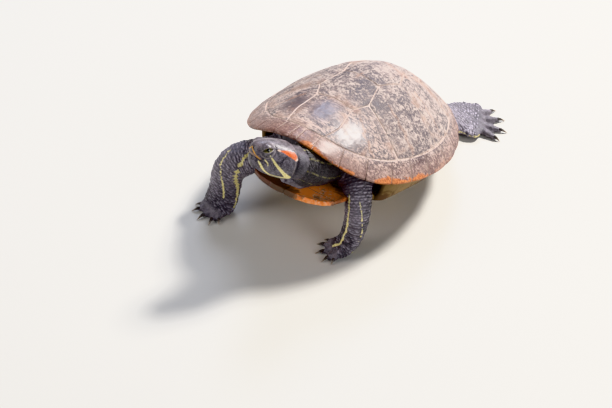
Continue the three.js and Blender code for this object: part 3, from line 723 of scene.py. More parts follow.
def graded_axis(low, high, fine):
    """Grid lines at the fine pitch inside one span, widening to the coarse pitch outside it."""
    inner = np.arange(fine[0], fine[1], FINE)
    grow = FINE * 1.25 ** np.arange(1, 5)
    before = fine[0] - np.cumsum(grow)
    after = inner[-1] + np.cumsum(grow)
    outer_low = np.arange(before[-1] - COARSE, low - COARSE, -COARSE)
    outer_high = np.arange(after[-1] + COARSE, high + COARSE, COARSE)
    return np.concatenate([outer_low[::-1], before[::-1], inner, after, outer_high]).astype(np.float32)


def block(axes, spans):
    """The part of the grid inside a span along each axis: its slices and its places."""
    cut = tuple(slice(*np.searchsorted(axis, span)) for axis, span in zip(axes, spans))
    return cut, np.stack(np.meshgrid(*[axis[part] for axis, part in zip(axes, cut)], indexing="ij"), -1)


def stamp(field, axes, spans, body, reach):
    """Joins a body's field, worked out inside the spans, to the whole with a soft corner."""
    cut, grid = block(axes, spans)
    field[cut] = smooth_min(field[cut], body(grid).astype(np.float32), reach)


NECK_FOLDS, LIMB_FOLDS = 5.2, 6.5      # distance from fold to fold in mm
# Loose skin hanging between jaw and neck: a rod from one end to the other, with its two radii, in mm.
THROAT = (np.array([8.0, -108.5, 83.0]), np.array([13.0, -96.0, 73.5]), 4.2, 6.2)


def neck_field(points):
    """The neck's sweep with the loose throat and soft cross folds every NECK_FOLDS mm, deepest below."""
    gap, passed, angle = SWEEPS["neck"].locate(points)
    under = 0.5 - 0.5 * np.sin(angle)
    way = 2 * math.pi * passed / NECK_FOLDS
    ripple = np.sin(way + 1.2 * np.cos(angle * 2) + 0.8 * np.cos(3 * angle))
    gap = smooth_min(gap, capsule(points, *THROAT), 6.0)
    return gap + (0.15 + 0.4 * under) * ripple * smoothstep(8, 20, passed)


def limb_field(name):
    """A limb's sweep with shallow cross folds every LIMB_FOLDS mm, and its foot."""
    def field(points):
        """The limb's own field at those places."""
        gap, passed, angle = SWEEPS[name].locate(points)
        ripple = np.sin(2 * math.pi * passed / LIMB_FOLDS + np.cos(angle * 2))
        gap = gap + 0.22 * ripple
        if name in DIGITS:
            gap = smooth_min(gap, foot_field(points, name), 2.2)
        return gap
    return field


def skin_grid():
    """The field of all flesh on a graded grid: negative inside, in mm."""
    axes = [graded_axis(*span, fine) for span, fine in zip(GRID_BOX, HEAD_BLOCK)]
    field = np.full([len(axis) for axis in axes], FAR, np.float32)
    for name in (*DIGITS, "tail"):
        stamp(field, axes, zip(*SWEEPS[name].box(16 if name in DIGITS else 6)), limb_field(name), 3.0)
    stamp(field, axes, zip(*SWEEPS["neck"].box(4)), neck_field, 4.0)
    cut, grid = block(axes, HEAD_BLOCK)
    q = to_head(grid)
    head = head_field(q)
    field[cut] = smooth_min(field[cut], head.astype(np.float32), 1.2)
    field[cut] += cheek_crease(q, head).astype(np.float32)
    stamp(field, axes, TRUNK_BOX, lambda points: horn_room(points)[1], 4.0)
    flesh = np.nonzero(field < 3.0)
    places = np.stack([axis[index] for axis, index in zip(axes, flesh)], -1)
    horn, _, local = horn_room(places)
    values = smooth_max(field[flesh], horn, 0.8)
    slab = np.flatnonzero(np.abs(local[:, 2] - PLASTRON_TOP) < 12)
    values[slab] = smooth_max(values[slab], plastron_depth(local[slab]), 0.8)
    # flat where it rests on the floor
    field[flesh] = smooth_max(values, -places[:, 2], 0.5)
    return field, axes


CORNERS = np.array([[i, j, k] for i in (0, 1) for j in (0, 1) for k in (0, 1)])
CELL_EDGES = [(a, b) for a in range(8) for b in range(a + 1, 8)
              if np.abs(CORNERS[a] - CORNERS[b]).sum() == 1]


def surface_nets(field, axes):
    """One point in each cell that the surface crosses, at the mean of the crossings on the cell's edges,
    and one quad round each grid edge that it crosses."""
    inside = field < 0
    shape = np.array(field.shape) - 1
    count = np.zeros(shape, np.uint8)
    for i, j, k in CORNERS:
        count += inside[i:i + shape[0], j:j + shape[1], k:k + shape[2]]
    cells = np.argwhere((count > 0) & (count < 8))
    number = np.full(shape, -1, np.int64)
    number[tuple(cells.T)] = np.arange(len(cells))
    corner_at = [cells + offset for offset in CORNERS]
    value = [field[tuple(at.T)] for at in corner_at]
    place = [np.stack([axis[at[:, d]] for d, axis in enumerate(axes)], -1) for at in corner_at]
    total, hits = np.zeros((len(cells), 3)), np.zeros(len(cells))
    for a, b in CELL_EDGES:
        crossed = (value[a] < 0) != (value[b] < 0)
        t = np.where(crossed, value[a] / np.where(crossed, value[a] - value[b], 1), 0)
        total += np.where(crossed[:, None], place[a] + t[:, None] * (place[b] - place[a]), 0)
        hits += crossed
    points = total / hits[:, None]
    quads = []
    for d in range(3):
        e, f = (d + 1) % 3, (d + 2) % 3
        near, far = [slice(None)] * 3, [slice(None)] * 3
        near[d], far[d] = slice(0, -1), slice(1, None)
        change = inside[tuple(near)] != inside[tuple(far)]
        for other in (e, f):
            change[tuple(slice(0, 1) if axis == other else slice(None) for axis in range(3))] = False
        at = np.argwhere(change)
        at = at[(at[:, e] < shape[e]) & (at[:, f] < shape[f])]
        around = []
        for back_e, back_f in ((1, 1), (0, 1), (0, 0), (1, 0)):
            cell = at.copy()
            cell[:, e] -= back_e
            cell[:, f] -= back_f
            around.append(number[tuple(cell.T)])
        quad = np.stack(around, -1)
        leaves = inside[tuple(at.T)]
        quads.append(np.where(leaves[:, None], quad, quad[:, ::-1]))
    return points, np.vstack(quads)


def relax(points, quads, rounds):
    """Moves each point half way to the mean of its neighbours, then nearly back, so volume stays."""
    a = quads.ravel()
    b = np.roll(quads, -1, axis=1).ravel()
    ends, starts = np.concatenate([a, b]), np.concatenate([b, a])
    degree = np.bincount(ends, minlength=len(points)).astype(float)[:, None]
    for _ in range(rounds):
        for move in (0.5, -0.5 * 1.03):
            total = np.stack([np.bincount(ends, points[starts, d], len(points)) for d in range(3)], -1)
            points = points + move * (total / degree - points)
    return points


def thinned(points, quads):
    """Collapses edges where the horn hides the flesh, until the mesh is small enough.
    Returns its points and triangles."""
    mesh = bpy.data.meshes.new("thinned")
    mesh.from_pydata(points, [], quads)
    holder = new_object("thinned", mesh)
    horn, trunk, local = horn_room(points)
    hidden = np.maximum(smoothstep(2.0, 0.8, np.abs(trunk)), smoothstep(-1.0, -0.3, horn))
    # head and throat, in front of the shell, keep all their points
    hidden *= smoothstep(-70, -60, local[:, 1])
    group = holder.vertex_groups.new(name="hidden")
    for level in range(1, 6):
        group.add(np.flatnonzero(np.round(hidden * 5) == level).tolist(), level / 5, "REPLACE")
    thin = holder.modifiers.new("thin", "DECIMATE")
    thin.vertex_group = "hidden"
    thin.ratio = min(1.0, SKIN_TRIANGLES / (2 * len(quads)))
    done = holder.evaluated_get(bpy.context.evaluated_depsgraph_get()).to_mesh()
    done.calc_loop_triangles()
    places, corners = np.empty(len(done.vertices) * 3), np.empty(len(done.loop_triangles) * 3, np.int32)
    done.vertices.foreach_get("co", places)
    done.loop_triangles.foreach_get("vertices", corners)
    bpy.data.objects.remove(holder)
    bpy.data.meshes.remove(mesh)
    return places.reshape(-1, 3), corners.reshape(-1, 3).astype(int)


class Skin:
    """The finished skin's grid, points and faces, and the tools that other pieces use to sit on it."""

    def __init__(self):
        self.field, self.axes = skin_grid()
        points, quads = surface_nets(self.field, self.axes)
        self.points, self.tris = thinned(relax(points, quads, 2), quads)

    def sample(self, points):
        """The field at any places, by linear interpolation between the grid's corners."""
        index, share = [], []
        for d, axis in enumerate(self.axes):
            k = np.clip(np.searchsorted(axis, points[:, d]) - 1, 0, len(axis) - 2)
            index.append(k)
            share.append(np.clip((points[:, d] - axis[k]) / (axis[k + 1] - axis[k]), 0, 1))
        total = np.zeros(len(points))
        for i, j, k in CORNERS:
            weight = ((share[0] if i else 1 - share[0]) * (share[1] if j else 1 - share[1])
                      * (share[2] if k else 1 - share[2]))
            total += weight * self.field[index[0] + i, index[1] + j, index[2] + k]
        return total

    def gradient(self, points):
        """The field's slope, from differences over 1 mm along each axis."""
        return np.stack([self.sample(points + 0.5 * axis) - self.sample(points - 0.5 * axis)
                         for axis in np.eye(3)], -1)

    def settle(self, points, rounds=5):
        """Walks places to the surface along the field's slope. Returns them with their outward normals."""
        for _ in range(rounds):
            slope = self.gradient(points)
            size = np.maximum(np.einsum("ij,ij->i", slope, slope), 0.05)
            points = points - (self.sample(points) / size)[:, None] * slope
        return points, unit(self.gradient(points))


# ---- scutes
def resample(outline, count):
    """The same closed outline with evenly spaced points, its corners rounded by two neighbour means."""
    loop = np.vstack([outline, outline[:1]])
    passed = run_lengths(loop)
    place = np.linspace(0, passed[-1], count, endpoint=False)
    points = np.stack([np.interp(place, passed, loop[:, d]) for d in range(2)], -1)
    for _ in range(2):
        points = (np.roll(points, 1, axis=0) + 2 * points + np.roll(points, -1, axis=0)) / 4
    return points


def drawn_in(outline, distance):
    """The outline moved inward by a distance along its own normals."""
    along = unit(np.roll(outline, -1, axis=0) - np.roll(outline, 1, axis=0))
    area = np.cross(outline, np.roll(outline, -1, axis=0)).sum()
    inward = np.stack([-along[:, 1], along[:, 0]], -1) * np.sign(area)
    return outline + inward * distance


def arc(start, stop, rho, count=24):
    """Points on a ring of the plan between two angles in degrees."""
    return plan_point(np.radians(np.linspace(start, stop, count)), np.full(count, float(rho)))


def costal_outline(k):
    """Left costal k in plan: the rim's seam, then the corners that it shares with the vertebrals."""
    return np.vstack([arc(COSTAL_SEAMS[k], COSTAL_SEAMS[k + 1], SEAM_RING), VERTEBRAL_CORNERS[k + 1],
                      VERTEBRAL_SEAMS[k], VERTEBRAL_CORNERS[k]])


def vertebral_outline(k):
    """Vertebral k in plan: its left half from front to back, then the same mirrored."""
    first = arc(0, COSTAL_SEAMS[0], SEAM_RING, 6)[1:] if k == 0 else VERTEBRAL_SEAMS[k - 1][None]
    last = arc(COSTAL_SEAMS[4], 180, SEAM_RING, 8)[:-1] if k == 4 else VERTEBRAL_SEAMS[k][None]
    half = np.vstack([first, VERTEBRAL_CORNERS[k], last])
    return np.vstack([half, half[::-1] * (-1, 1)])


# The orange bar across each left costal, as plan points.
COSTAL_BARS = [[[27, -46], [38, -53], [52, -58.5]], [[33, -17], [50, -19], [66, -21]],
               [[32, 22], [48, 24], [64, 25]], [[26, 56], [36, 63], [44, 71]]]


PLATE_ROLL, RIM_ROLL, BELLY_ROLL = 0.9, 0.7, 0.8      # radius of each kind of plate's rounded margin
PLATE_SINK = 0.15        # how far the margin lies under the dome
GROWTH_PITCH, GROWTH_RELIEF = 2.1, 0.012              # distance between growth rings, and their height


def plate(outline, areola, bow, bar=None, sides=128, rings=34):
    """A closed plate of horn. The top is a polar grid: each point lies a share of the way from the areola,
    the plate's oldest spot, to its edge. Growth rings and a slight bow are raised along the dome's
    normal, the margin is rounded off as a quarter circle, and the wall and underside close it."""
    edge = drawn_in(resample(outline, sides), SEAM_GAP / 2)
    share = 1 - (1 - np.linspace(0, 1, rings + 1)[1:]) ** 1.6
    plan = areola + (edge - areola) * share[:, None, None]
    closed = np.vstack([edge, edge[:1]])
    margin, _ = segment_distance(plan, closed)
    margin[-1] = 0
    ring = np.broadcast_to(share[:, None], margin.shape)
    spot = np.concatenate([plan, np.zeros((*plan.shape[:2], 1))], -1)
    wobble = 0.8 * waves(spot, 23.0)
    growth = GROWTH_RELIEF * np.sin(2 * math.pi * (margin + wobble) / GROWTH_PITCH)
    growth = growth * smoothstep(0.25, 0.6, ring)
    swell = bow * (1 - ring ** 2) + 0.26 * waves(spot, 19.0, 2.0) + 0.10 * waves(spot, 6.5, 1.0)
    swell = swell + 0.035 * waves(spot, 2.6, 3.0)
    streak = np.zeros_like(ring)
    if bar is not None:
        away, _ = segment_distance(plan + 1.2 * waves(spot, 9.0)[..., None], np.array(bar, float))
        streak = smoothstep(2.6, 0.6, away)
    top = on_dome(plan, swell + growth - rounded(margin, PLATE_ROLL) - PLATE_SINK)
    wall = [on_dome(edge, np.full(sides, -drop)) for drop in (1.5, 2.6)]
    under = [on_dome(areola + (edge - areola) * part, np.full(sides, -2.8)) for part in (0.94, 0.5)]
    rings_all = np.concatenate([top, np.stack(wall), np.stack(under)])
    extra = np.zeros((4, sides))
    tip = on_dome(np.array([areola]), np.array([bow - PLATE_SINK]))[0]
    base = on_dome(np.array([areola]), np.array([-2.8]))[0]
    return Shape().add_rings(rings_all, tip, base, margin=np.vstack([margin, extra]),
                             ring=np.vstack([ring, extra + 1]), bar=np.vstack([streak, extra]))


def rim_knots(top, lower):
    """Knots of the rim's section, as [share of the plan radius, height over a level rim, share of the
    rim's rise that it follows]. Top knots are given by their drop below the dome."""
    top = np.array([(rho, CROWN_HEIGHT * (1 - rho ** CROWN_POWER) - drop, 0.0) for rho, drop in top])
    return np.vstack([top, np.array(lower)])


def rim_point(phi, section):
    """A point of the rim's section: its height plus the rim's rise, times rho^3 above and 1 below."""
    rho, height, low = section[..., 0], section[..., 1], section[..., 2]
    plan = plan_point(phi, rho)
    follow = rho ** 3 + (1 - rho ** 3) * low
    return np.concatenate([plan, (height + rim_rise(phi) * follow)[..., None]], -1)


MARGINAL_KNOTS = rim_knots(
    [(0.8775, 0.75), (0.880, 0.10), (0.895, -0.12), (0.925, -0.15), (0.955, -0.05), (0.982, 0.2)],
    [(0.999, -0.7, 0.5), (1.006, -1.6, 1), (1.004, -2.6, 1), (0.994, -3.4, 1), (0.972, -3.9, 1),
     (0.94, -4.7, 1), (0.905, -5.7, 1), (0.875, -6.7, 1), (0.8635, -6.6, 1), (0.8625, 2.0, 0.5),
     (0.867, 8.6, 0), (0.874, 8.7, 0)])


def marginal(start, stop, notch, columns=26, sides=54):
    """A closed rim plate: a smooth closed section carried round the rim, shrunk at both ends to a
    rounded margin, its lip drawn out between the seams by the notch's depth."""
    loop = catmull(np.vstack([MARGINAL_KNOTS, MARGINAL_KNOTS[:1]]), np.linspace(0, 1, sides, endpoint=False))
    mid = math.radians((start + stop) / 2)
    size = HALF_WIDTH * abs(math.cos(mid)) + HALF_LENGTH * abs(math.sin(mid))
    gap = math.degrees(SEAM_GAP / 2 / SEAM_RADIUS)
    share = eased(columns)
    phi = np.radians(start + gap + (stop - start - 2 * gap) * share)
    length = np.radians(stop - start) * size
    margin_end = np.minimum(share, 1 - share) * length
    middle = np.array([0.93, 0.8, 0.5])
    out = unit((loop - middle) * (RIM_RADIUS, 1, 0)) / (RIM_RADIUS, 1, 1)
    section = loop[None] - out[None] * rounded(margin_end, RIM_ROLL)[:, None, None]
    lip = smoothstep(0.93, 1.0, section[..., 0]) * notch * np.sin(math.pi * share)[:, None] ** 0.6
    section = section + np.stack([lip / RIM_RADIUS, np.zeros_like(lip), np.zeros_like(lip)], -1)
    rings = rim_point(phi[:, None] + np.zeros(sides), section)
    under = smoothstep(0.5, 1.0, section[..., 2]) * (section[..., 1] < -2.9)
    seam = np.abs(section[..., 0] - 0.878) * RIM_RADIUS
    margin = np.minimum(margin_end[:, None], np.where(section[..., 2] < 0.3, seam, 9.0))
    return Shape().add_rings(rings, rings[0].mean(0), rings[-1].mean(0), margin=margin,
                             ring=section[..., 0], under=under)


def seam_bed():
    """The living layer that shows in the seams: the whole shell's profile, 0.85 mm under the dome."""
    columns, inset, floor = 120, 0.85, 2.9
    phi = turns(columns)
    top = [(rho, inset) for rho in (0.1, 0.22, 0.34, 0.46, 0.57, 0.67, 0.76, 0.83, 0.88, 0.93, 0.965)]
    lower = [(0.985, -1.2, 0.9), (0.992, -2.0, 1), (0.984, -2.8, 1), (0.96, -3.5, 1), (0.93, -4.3, 1),
             (0.9, -5.2, 1), (0.878, -6.0, 1), (0.870, -5.8, 1), (0.868, 3.0, 0.5), (0.862, 9.6, 0)]
    inside = rim_knots([(rho, floor) for rho in (0.8, 0.6, 0.3)], np.zeros((0, 3)))
    rings = np.stack([rim_point(phi, np.broadcast_to(knot, (columns, 3)))
                      for knot in np.vstack([rim_knots(top, lower), inside])])
    centre = np.zeros(1)
    first, last = (dome_point(centre, centre, np.array([drop]))[0] for drop in (inset, floor))
    return Shape().add_rings(rings, first, last, margin=0.0, ring=0.0, under=0.0)


# ---- belly shell and bridges
def belly_plate(shape, side, front, back, rows=40, sides=56):
    """One plate of the belly: a rounded section from the midline to the edge, carried from its front
    seam to its rear one. The seams bow forward toward the edge, and the rear tip is cut by the notch."""
    share, turn = eased(rows), turns(sides)
    across = 0.5 + 0.5 * squared(np.cos(turn), 0.22)
    up = 0.5 * squared(np.sin(turn), 0.22 * 1.6)
    half_gap = SEAM_GAP / 2
    bow = 3.0 * across ** 2
    low = front + half_gap + (0 if front < -95 else -bow)
    high = back - half_gap + (0 if back > 90 else -bow)
    y = low + (high - low) * share[:, None]
    end = np.minimum(share, 1 - share)[:, None] * abs(back - front)
    shrink = rounded(end, BELLY_ROLL)
    width = np.maximum(lobe_half_width(y) - half_gap - shrink, 0.6)
    y = np.clip(y, -96.8 + 0.0012 * (across * width) ** 2, 90 - 6 * (1 - np.minimum(across * width / 13, 1)))
    x = half_gap + shrink * 0.5 + (width - half_gap) * across
    thick = PLASTRON_THICKNESS - 0.4 - 2 * shrink
    middle = PLASTRON_TOP - PLASTRON_THICKNESS / 2 + 0.8 * smoothstep(0.8, 1, across) * (front < -50)
    z = middle + up * thick + 0.08 * waves(np.stack([x, y, 0 * y], -1), 9.0)
    rings = np.stack(np.broadcast_arrays(side * x, y, z), -1)
    inner = np.minimum(x - half_gap, end + 0 * x)
    rim = (across > 0.5) * (up > -0.2)
    under = np.broadcast_to(rim * 1.0, inner.shape)
    shape.add_rings(rings, rings[0].mean(0), rings[-1].mean(0), margin=inner, ring=width - x, under=under)


def on_floor(points):
    """The shell's pose, with nothing let through the floor."""
    placed = pose_shell(points)
    placed[:, 2] = np.maximum(placed[:, 2], 0.02)
    return placed


def bridge(side, rows=44, sides=48):
    """The wall between belly and rim: an outward-bowed section carried along the shell's waist."""
    share, turn = eased(rows)[:, None], turns(sides)
    rise = 0.5 + 0.5 * squared(np.cos(turn), 0.2)
    deep = 0.5 - 0.5 * squared(np.sin(turn), 0.35)
    front, back = BRIDGE_SPAN
    y = front + (back - front) * share
    phi = np.arccos(np.clip(-y / (HALF_LENGTH * 0.9), -1, 1))
    top_x = plan_point(phi, np.full(phi.shape, 0.9))[..., 0]
    top_z = rim_rise(phi) - RIM_DROP - 0.9
    foot_z = PLASTRON_TOP - PLASTRON_THICKNESS + 0.6
    end = np.minimum(share, 1 - share) * (back - front)
    curl = BRIDGE_CURL * np.clip((BRIDGE_CURL_START - y) / (BRIDGE_CURL_START - front), 0, 1) ** 2
    bulge = np.sin(math.pi * rise) * 1.7 - deep * 3.0 - rounded(end, BELLY_ROLL) - curl
    x = BRIDGE_FOOT + (top_x - BRIDGE_FOOT) * rise + bulge
    z = foot_z + (top_z - foot_z) * rise - np.sin(math.pi * rise) * 1.2 + 0 * x
    rings = np.stack(np.broadcast_arrays(side * x, y, z), -1)
    return Shape().add_rings(rings, rings[0].mean(0), rings[-1].mean(0), margin=end, ring=9.0, under=1.0)


# ---- eyes and claws
def eyeball(side):
    """A globe with a raised cornea: rings about the line of sight, the radius growing by a bell of it."""
    rows, sides = 40, 56
    polar = np.linspace(0, math.pi, rows + 2)[1:-1, None]
    turn = turns(sides)
    radius = EYE_RADIUS + CORNEA * bell(polar, 0.55)
    out, ahead, up = np.cos(polar) + 0 * turn, np.sin(polar) * np.cos(turn), np.sin(polar) * np.sin(turn)
    local = out[..., None] * EYE_OUT + ahead[..., None] * EYE_LONG + up[..., None] * EYE_UP
    mirror = np.array([side, 1, 1])
    rings = from_head((EYE_CENTRE + local * radius[..., None]) * mirror)
    tip = from_head((EYE_CENTRE + EYE_OUT * (EYE_RADIUS + CORNEA)) * mirror)
    base = from_head((EYE_CENTRE - EYE_OUT * EYE_RADIUS) * mirror)
    return Shape().add_rings(rings, tip, base, polar=polar, across=up * EYE_RADIUS)


def claw_set(name):
    """Curved cones on the digits: an ellipse shrinking to a point along an arc from knuckle to floor."""
    shape = Shape()
    t = np.linspace(0, 1, 12)[:, None]
    turn = turns(12)
    for root, direction, reach, claw, radius in digit_rays(name):
        across = np.array([-direction[1], direction[0], 0])
        start = root + direction * (reach - 1.0)
        length = claw + 1.2
        high, low = radius * 0.62 + 0.35, 0.5
        height = low + (high - low) * (1 - t ** 1.8) + 0.8 * np.sin(math.pi * t ** 0.8) * (1 - t)
        centre = start * (1, 1, 0) + direction * length * t + np.array([0, 0, 1]) * height
        wide = (radius * 0.44) * (1 - t) ** 0.75 + 0.10
        deep = (radius * 0.46) * (1 - t) ** 0.7 + 0.12
        rings = (centre[:, None] + across * (wide * np.cos(turn))[..., None]
                 + np.array([0, 0, 1]) * (deep * np.sin(turn))[..., None])
        rings[..., 2] = np.maximum(rings[..., 2], 0.05)
        tip = centre[-1] + direction * 0.25
        shape.add_rings(rings, centre[0] - direction * 0.4, tip, length=t)
    return shape


# ---- markings shared by skin and scales
# Head stripes on the left side, as [behind, sideways, up and half width] runs; the right side mirrors them.
EAR_PATCH = [[15.6, 11.7, 6.5, 0.35], [20.0, 12.8, 6.7, 0.9], [23.7, 13.8, 6.5, 1.6],
             [28.0, 15.3, 5.6, 2.6], [32.0, 16.9, 3.6, 1.8]]
CHEEK_STRIPE = [[10.4, 12.1, 1.7, 0.4], [13.8, 12.7, -1.3, 0.8], [16.5, 13.5, -3.9, 0.95],
                [20.2, 14.3, -6.8, 1.15], [24.6, 14.5, -9.7, 1.4], [28.2, 13.9, -11.8, 2.0],
                [31.0, 12.8, -13.2, 2.3]]
JAW_STRIPE = [[4.5, 7.9, -5.6, 0.6], [6.6, 7.9, -7.5, 0.95], [9.4, 7.7, -10.4, 1.0], [12.7, 7.8, -12.7, 1.0],
              [16.8, 7.6, -14.6, 0.9], [23.0, 9.6, -15.0, 0.9], [29.0, 11.6, -14.2, 1.2]]
BEAK_STRIPE = [[-0.4, 0.2, 3.4, 0.4], [-0.2, 1.6, 1.8, 0.5], [0.4, 4.4, 0.2, 0.65], [2.7, 6.7, -2.0, 0.75],
               [5.2, 8.2, -4.1, 0.6]]
CORNER_STRIPE = [[8.5, 10.2, -3.1, 0.45], [11.0, 10.9, -4.9, 0.6], [12.1, 11.0, -7.2, 0.45]]
CHIN_STRIPE = [[3.0, 0.0, -11.5, 0.6], [12.0, 0.0, -14.0, 0.9], [19.0, 3.0, -15.6, 0.9],
               [30.0, 7.0, -16.6, 1.0]]
CROWN_STRIPE = [[3.5, 3.2, 6.4, 0.25], [9.0, 5.2, 8.9, 0.3], [18.0, 7.0, 9.8, 0.3], [31.0, 9.8, 9.2, 0.4]]
# Stripes on neck, legs and tail, as runs of (length passed, angle round in degrees, half width).
LIMB_STRIPES = {
    "neck": [[(12, 20, 0.8), (60, 10, 1.0)], [(12, 60, 0.6), (60, 52, 0.7)],
             [(12, -25, 0.9), (60, -32, 1.1)], [(12, -62, 0.8), (60, -66, 1.0)],
             [(12, -95, 0.8), (60, -92, 0.9)], [(12, 160, 0.8), (60, 168, 1.0)],
             [(12, 122, 0.6), (60, 128, 0.7)], [(12, -155, 0.9), (60, -148, 1.1)],
             [(12, -122, 0.8), (60, -118, 1.0)]],
    "foreleg_right": [[(34, -70, 1.0), (45.8, -65, 1.4), (50, -51, 1.7), (62, -42, 1.8), (75, -29, 1.5),
                       (90, -16, 1.1)],
                      [(50, -133, 0.5), (59, -124, 0.6), (62.6, -109, 0.6), (70.5, -91, 0.7), (84, -80, 0.6)],
                      [(36, 60, 0.8), (88, 66, 0.9)], [(36, 130, 0.5), (88, 128, 0.6)]],
    "foreleg_left": [[(30, -60, 0.7), (45.6, -69, 0.8), (58, -70, 1.0), (68, -75, 1.1), (84, -84, 0.9)],
                     [(34, -14, 0.4), (46.7, -1, 0.45), (56, 12, 0.45), (74, 20, 0.4)],
                     [(36, 75, 0.8), (84, 70, 0.9)], [(36, 150, 0.5), (84, 150, 0.6)]],
    "hindleg_left": [[(20, 178, 0.9), (95, 178, 1.0)], [(20, 2, 0.9), (95, 6, 0.8)],
                     [(20, -60, 0.8), (80, -60, 0.9)]],
    "hindleg_right": [[(30, 70, 0.8), (90, 62, 1.0)], [(30, 110, 0.8), (90, 118, 0.9)],
                      [(20, 178, 0.9), (95, 178, 1.0)], [(20, 2, 0.9), (95, 2, 1.0)],
                      [(20, -60, 0.8), (80, -60, 0.9)]],
    "tail": [[(14, 40, 0.6), (60, 35, 0.35)], [(14, 140, 0.6), (60, 145, 0.35)],
             [(14, -90, 0.7), (60, -90, 0.4)]],
}


# Lengths passed along each limb between which its upper side turns from paler to plain slate.
PALE_SPANS = {"foreleg_right": (58, 96), "foreleg_left": (42, 66), "hindleg_left": (20, 150),
              "hindleg_right": (60, 120), "tail": (20, 50)}


def run_mask(points, run, soft=1.0):
    """1 on a run of points with half widths and 0 off it, with a soft edge in mm, and the share passed."""
    run = np.array(run, float)
    gap, passed = segment_distance(points, run[:, [1, 0, 2]])
    half = np.interp(passed, np.arange(len(run)), run[:, 3])
    return np.clip(0.5 - (gap - half) / soft, 0, 1), passed / (len(run) - 1)


def limb_stripes(name, passed, angle):
    """1 on a limb's stripes: each is a strip about an angle that changes evenly with the length passed."""
    sweep = SWEEPS[name]
    girth = (np.interp(passed, sweep.passed, sweep.wide) + np.interp(passed, sweep.passed, sweep.thick)) / 2
    mask = np.zeros_like(passed)
    for run in LIMB_STRIPES[name]:
        run = np.array(run, float)
        centre = np.interp(passed, run[:, 0], np.radians(run[:, 1]))
        half = np.interp(passed, run[:, 0], run[:, 2])
        away = np.abs((angle - centre + math.pi) % (2 * math.pi) - math.pi) * girth
        first, last = run[0, 0], run[-1, 0]
        inside = smoothstep(first - 3, first + 3, passed) * (1 - smoothstep(last, last + 6, passed))
        mask = np.maximum(mask, np.clip(0.5 - (away - half) / 0.6, 0, 1) * inside)
    return mask


def markings(points):
    """Values at places on the skin: yellow, red, amber and pink stripe masks, pale rims of the lids, horn of
    the beak, line of the mouth for its painted shade, smooth head skin, crown tint partly painted light,
    painted shade on the neck behind the cheek, underside, feet and how pale the upper side of a limb is."""
    q = to_head(points)
    mirrored = left_side(q)
    sideways, back, height = (mirrored[..., k] for k in range(3))
    fold = cheek_fold(q)
    neck_gap, neck_passed, neck_angle = SWEEPS["neck"].locate(points)
    on_head = ((head_field(q) < 2.5) & (back < HEAD_LENGTH - 2)) * 1.0
    on_neck = neck_gap < 2.5
    behind = smoothstep(-1.5, 0.5, fold)
    yellow = np.zeros(len(points))
    for run in (CHEEK_STRIPE, JAW_STRIPE, CORNER_STRIPE, CHIN_STRIPE):
        yellow = np.maximum(yellow, run_mask(mirrored, run)[0])
    red, share = run_mask(mirrored, EAR_PATCH, 2.0)
    forward, up, out, reach = eye_place(q)
    lid = bell(slit_edge(forward, up) - 0.3, 0.55) * (reach < LID_RADIUS + 1.0) * smoothstep(0, 1.5, out)
    lower_lid = bell(reach - LID_RADIUS - 0.9, 0.7) * smoothstep(0.5, -1.5, up) * smoothstep(-1, 1, out)
    cheek_rim = bell(fold + 1.1, 0.6) * smoothstep(-14, -9, height) * (sideways > 7)
    above = height - mouth_height(q)
    horn = smoothstep(-0.2, 0.3, above) * smoothstep(2.4, 1.4, above) * smoothstep(7.0, 4.0, back)
    # The mouth's line, for painted shade in the crease between the jaws.
    painted_mouth_shade = bell(above, 0.45) * smoothstep(13.0, 11.0, back)
    # Crown: a pinkish-brown tint on top of the head and snout, partly painted light brightening these upward
    # faces.
    crown = np.maximum(smoothstep(6.0, 9.5, height) * smoothstep(1.0, 6.0, back),
                       smoothstep(1.5, 4.5, height) * smoothstep(8.0, 3.0, back))
    throat = smoothstep(1.5, -0.5, capsule(points, *THROAT))
    face = on_head * (1 - behind)
    # Neck stripes are laid at about half strength, partly as painted shade.
    limb_yellow = limb_stripes("neck", neck_passed, neck_angle) * on_neck * 0.54
    pale = np.zeros(len(points))
    for name, (first, last) in PALE_SPANS.items():
        gap, passed, angle = SWEEPS[name].locate(points)
        here = gap < 2.0
        limb_yellow = np.where(here, limb_stripes(name, passed, angle), limb_yellow)
        upper = np.sin(angle) * (1 if name[0] == "h" else -1)
        pale = np.where(here, smoothstep(last, first, passed) * smoothstep(-0.7, 0.3, upper), pale)
    foot = np.zeros(len(points))
    for name in DIGITS:
        for root, direction, reach_out, _, radius in digit_rays(name):
            gap = capsule(points, root, root + direction * reach_out, radius, radius * 0.7)
            foot = np.maximum(foot, smoothstep(2.0, 0.0, gap))
    return {
        "yellow": np.maximum(yellow * on_head * (1 - 0.6 * behind), limb_yellow * (1 - face) * (1 - foot)),
        "red": red * on_head, "warm": share * on_head, "face": face,
        "amber": run_mask(mirrored, BEAK_STRIPE)[0] * on_head,
        "pink": run_mask(mirrored, CROWN_STRIPE)[0] * on_head,
        "lid": np.maximum(np.maximum(lid, lower_lid), cheek_rim * 0.85) * on_head,
        "lip": horn * on_head, "painted_mouth_shade": painted_mouth_shade * on_head, "crown": crown * on_head,
        # Painted shade on the neck behind the cheek, where it runs in under the shell.
        "painted_neck_shade": smoothstep(5, 13, fold) * on_neck * (1 - throat),
        "belly": smoothstep(0.2, -0.9, np.sin(neck_angle)) * on_neck * (1 - on_head),
        "foot": foot, "pale": np.maximum(np.maximum(pale, foot * 0.6), throat)}


